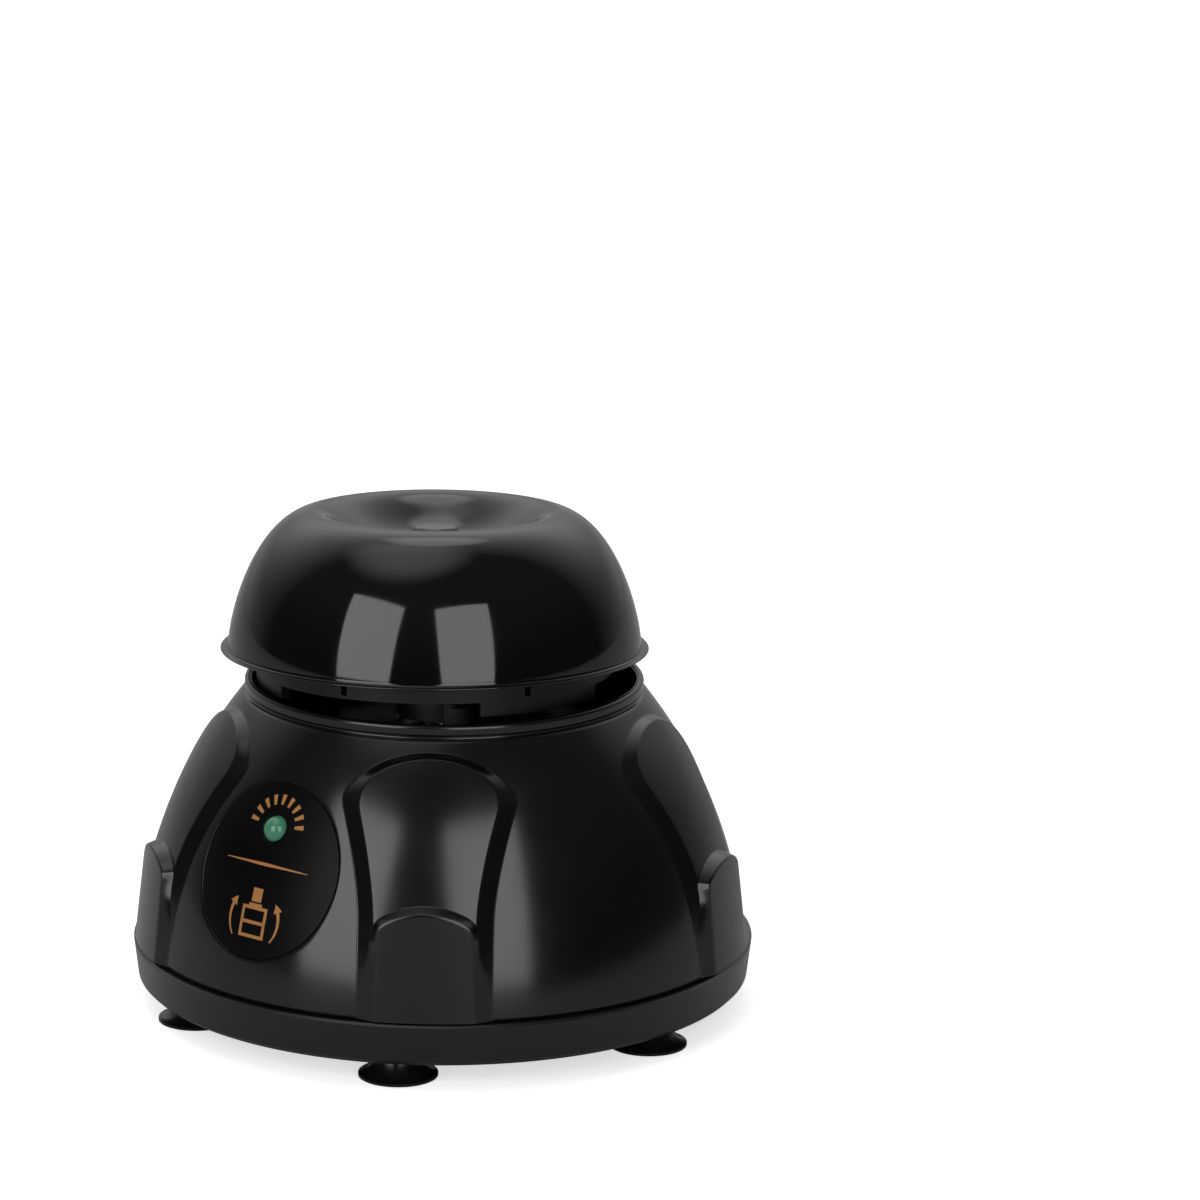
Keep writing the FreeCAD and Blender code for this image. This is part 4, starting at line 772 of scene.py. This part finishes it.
def camera():
    """Camera at the photograph's angle, turned so that the target lands at its pixel."""
    e = math.radians(CAMERA_ELEVATION)
    flat = out_at(CAMERA_AZIMUTH)
    back = flat * math.cos(e) + Vector((0.0, 0.0, math.sin(e)))
    right = Vector((-flat.y, flat.x, 0.0))
    up = back.cross(right)
    aside, above = (AIM_X - FRAME / 2) / FOCAL, (FRAME / 2 - AIM_Y) / FOCAL
    forward = (-back - right * aside - up * above).normalized()
    side = forward.cross(Vector((0.0, 0.0, 1.0))).normalized()
    turn = Matrix.Rotation(ROLL, 3, forward).transposed()
    axes = Matrix((turn @ side, turn @ side.cross(forward), -forward)).transposed().to_4x4()
    place = Vector((0.0, 0.0, TARGET_Z)) + back * CAMERA_DISTANCE
    data = bpy.data.cameras.new("camera")
    data.sensor_width = SENSOR
    data.lens = FOCAL * SENSOR / FRAME
    data.clip_start, data.clip_end = 0.05, 50.0
    made = bpy.data.objects.new("camera", data)
    bpy.context.scene.collection.objects.link(made)
    made.matrix_world = Matrix.Translation(place * MM) @ axes
    bpy.context.scene.camera = made


camera()

# Softboxes: sizes and distances in metres, angles in degrees, seen from the object.
LIGHT_DISTANCE = 1.5
LIGHT_ELEVATION = 20.5
LIGHT_HEIGHT = 1.08
LIGHT_TARGET = Vector((0.0, 0.0, 0.05))


def softbox(name, azimuth, width, radiance):
    """Softbox at an azimuth measured from the camera's; radiance 1 is white."""
    e = math.radians(LIGHT_ELEVATION)
    back = out_at(CAMERA_AZIMUTH + azimuth) * math.cos(e) + Vector((0.0, 0.0, math.sin(e)))
    data = bpy.data.lights.new(name, "AREA")
    data.shape = "RECTANGLE"
    data.size, data.size_y = width, LIGHT_HEIGHT
    data.energy = radiance * math.pi * width * LIGHT_HEIGHT
    made = bpy.data.objects.new(name, data)
    bpy.context.scene.collection.objects.link(made)
    made.location = LIGHT_TARGET + back * LIGHT_DISTANCE
    made.rotation_mode = "QUATERNION"
    made.rotation_quaternion = back.to_track_quat("Z", "Y")
    made.visible_camera = False


softbox("softbox_left", -39.5, 0.84, 3.3)
softbox("softbox_right", 18.0, 0.8, 3.1)


def mapped(tree, value, source, target, kind="LINEAR"):
    """Map a value from one range to another, held at both ends."""
    made = node(tree, "MapRange", {
        "Value": value, "From Min": source[0], "From Max": source[1],
        "To Min": target[0], "To Max": target[1]}, interpolation_type=kind)
    return made.outputs["Result"]


def math_of(tree, operation, first, second):
    """Result of one sum, product or the like of two values or sockets."""
    return node(tree, "Math", {0: first, 1: second}, operation=operation).outputs["Value"]


def toward(tree, away, direction):
    """Cosine of the angle between the ray and a direction."""
    unit = tuple(direction.normalized())
    return node(tree, "VectorMath", {0: away, 1: unit}, operation="DOT_PRODUCT").outputs["Value"]


def world():
    """Studio round the object, and plain white to the camera.

    It is pale behind the object and paler higher up, dark on the camera's side, and has a
    soft patch overhead and a small lamp above the back.
    """
    made = bpy.data.worlds.new("studio")
    bpy.context.scene.world = made
    made.use_nodes = True
    tree = made.node_tree
    tree.nodes.clear()
    away = node(tree, "TexCoord").outputs["Generated"]
    height = node(tree, "SeparateXYZ", {"Vector": away}).outputs["Z"]
    front = out_at(CAMERA_AZIMUTH)
    right = Vector((-front.y, front.x, 0.0))
    up = Vector((0.0, 0.0, 1.0))
    climb = mapped(tree, height, (0.2, 1.0), (0.0, 0.3))
    facing = math_of(tree, "SUBTRACT", toward(tree, away, front), climb)
    shade = mapped(tree, facing, (-0.85, -0.25), (0.38, 0.03))
    lift = mapped(tree, height, (0.1, 0.65), (1.0, 3.2), "SMOOTHSTEP")
    overhead = toward(tree, away, front * 0.1 - right * 0.2 + up * 0.97)
    patch = mapped(tree, overhead, (0.86, 1.0), (0.0, 1.1), "SMOOTHSTEP")
    rear = toward(tree, away, up * 0.9 - front * 0.42)
    lamp = mapped(tree, rear, (0.965, 0.99), (0.0, 1.3), "SMOOTHSTEP")
    round_it = math_of(tree, "MULTIPLY", shade, lift)
    total = math_of(tree, "ADD", round_it, math_of(tree, "ADD", patch, lamp))
    seen = node(tree, "LightPath").outputs["Is Camera Ray"]
    strength = math_of(tree, "MAXIMUM", total, seen)
    back = node(tree, "Background", {"Color": (1.0, 1.0, 1.0, 1.0), "Strength": strength})
    out = node(tree, "OutputWorld")
    tree.links.new(back.outputs["Background"], out.inputs["Surface"])


world()


def floor():
    """White paper, lighter to the camera than to the object's reflections."""
    bm = bmesh.new()
    bmesh.ops.create_grid(bm, x_segments=2, y_segments=2, size=3.0)
    mesh = bpy.data.meshes.new("floor")
    bm.to_mesh(mesh)
    bm.free()
    material = bpy.data.materials.new("paper_white")
    material.use_nodes = True
    tree = material.node_tree
    shader = tree.nodes["Principled BSDF"]
    shader.inputs["Roughness"].default_value = 0.9
    shader.inputs["Specular IOR Level"].default_value = 0.1
    shader.inputs["Emission Color"].default_value = (1.0, 1.0, 1.0, 1.0)
    seen = node(tree, "LightPath").outputs["Is Camera Ray"]
    tree.links.new(math_of(tree, "MULTIPLY", seen, 0.62), shader.inputs["Emission Strength"])
    tree.links.new(mapped(tree, seen, (0.0, 1.0), (0.48, 0.9)), shader.inputs["Base Color"])
    mesh.materials.append(material)
    made = bpy.data.objects.new("floor", mesh)
    bpy.context.scene.collection.objects.link(made)
    made.location.z = -0.1 * MM


floor()
bpy.context.scene.view_settings.view_transform = "Standard"
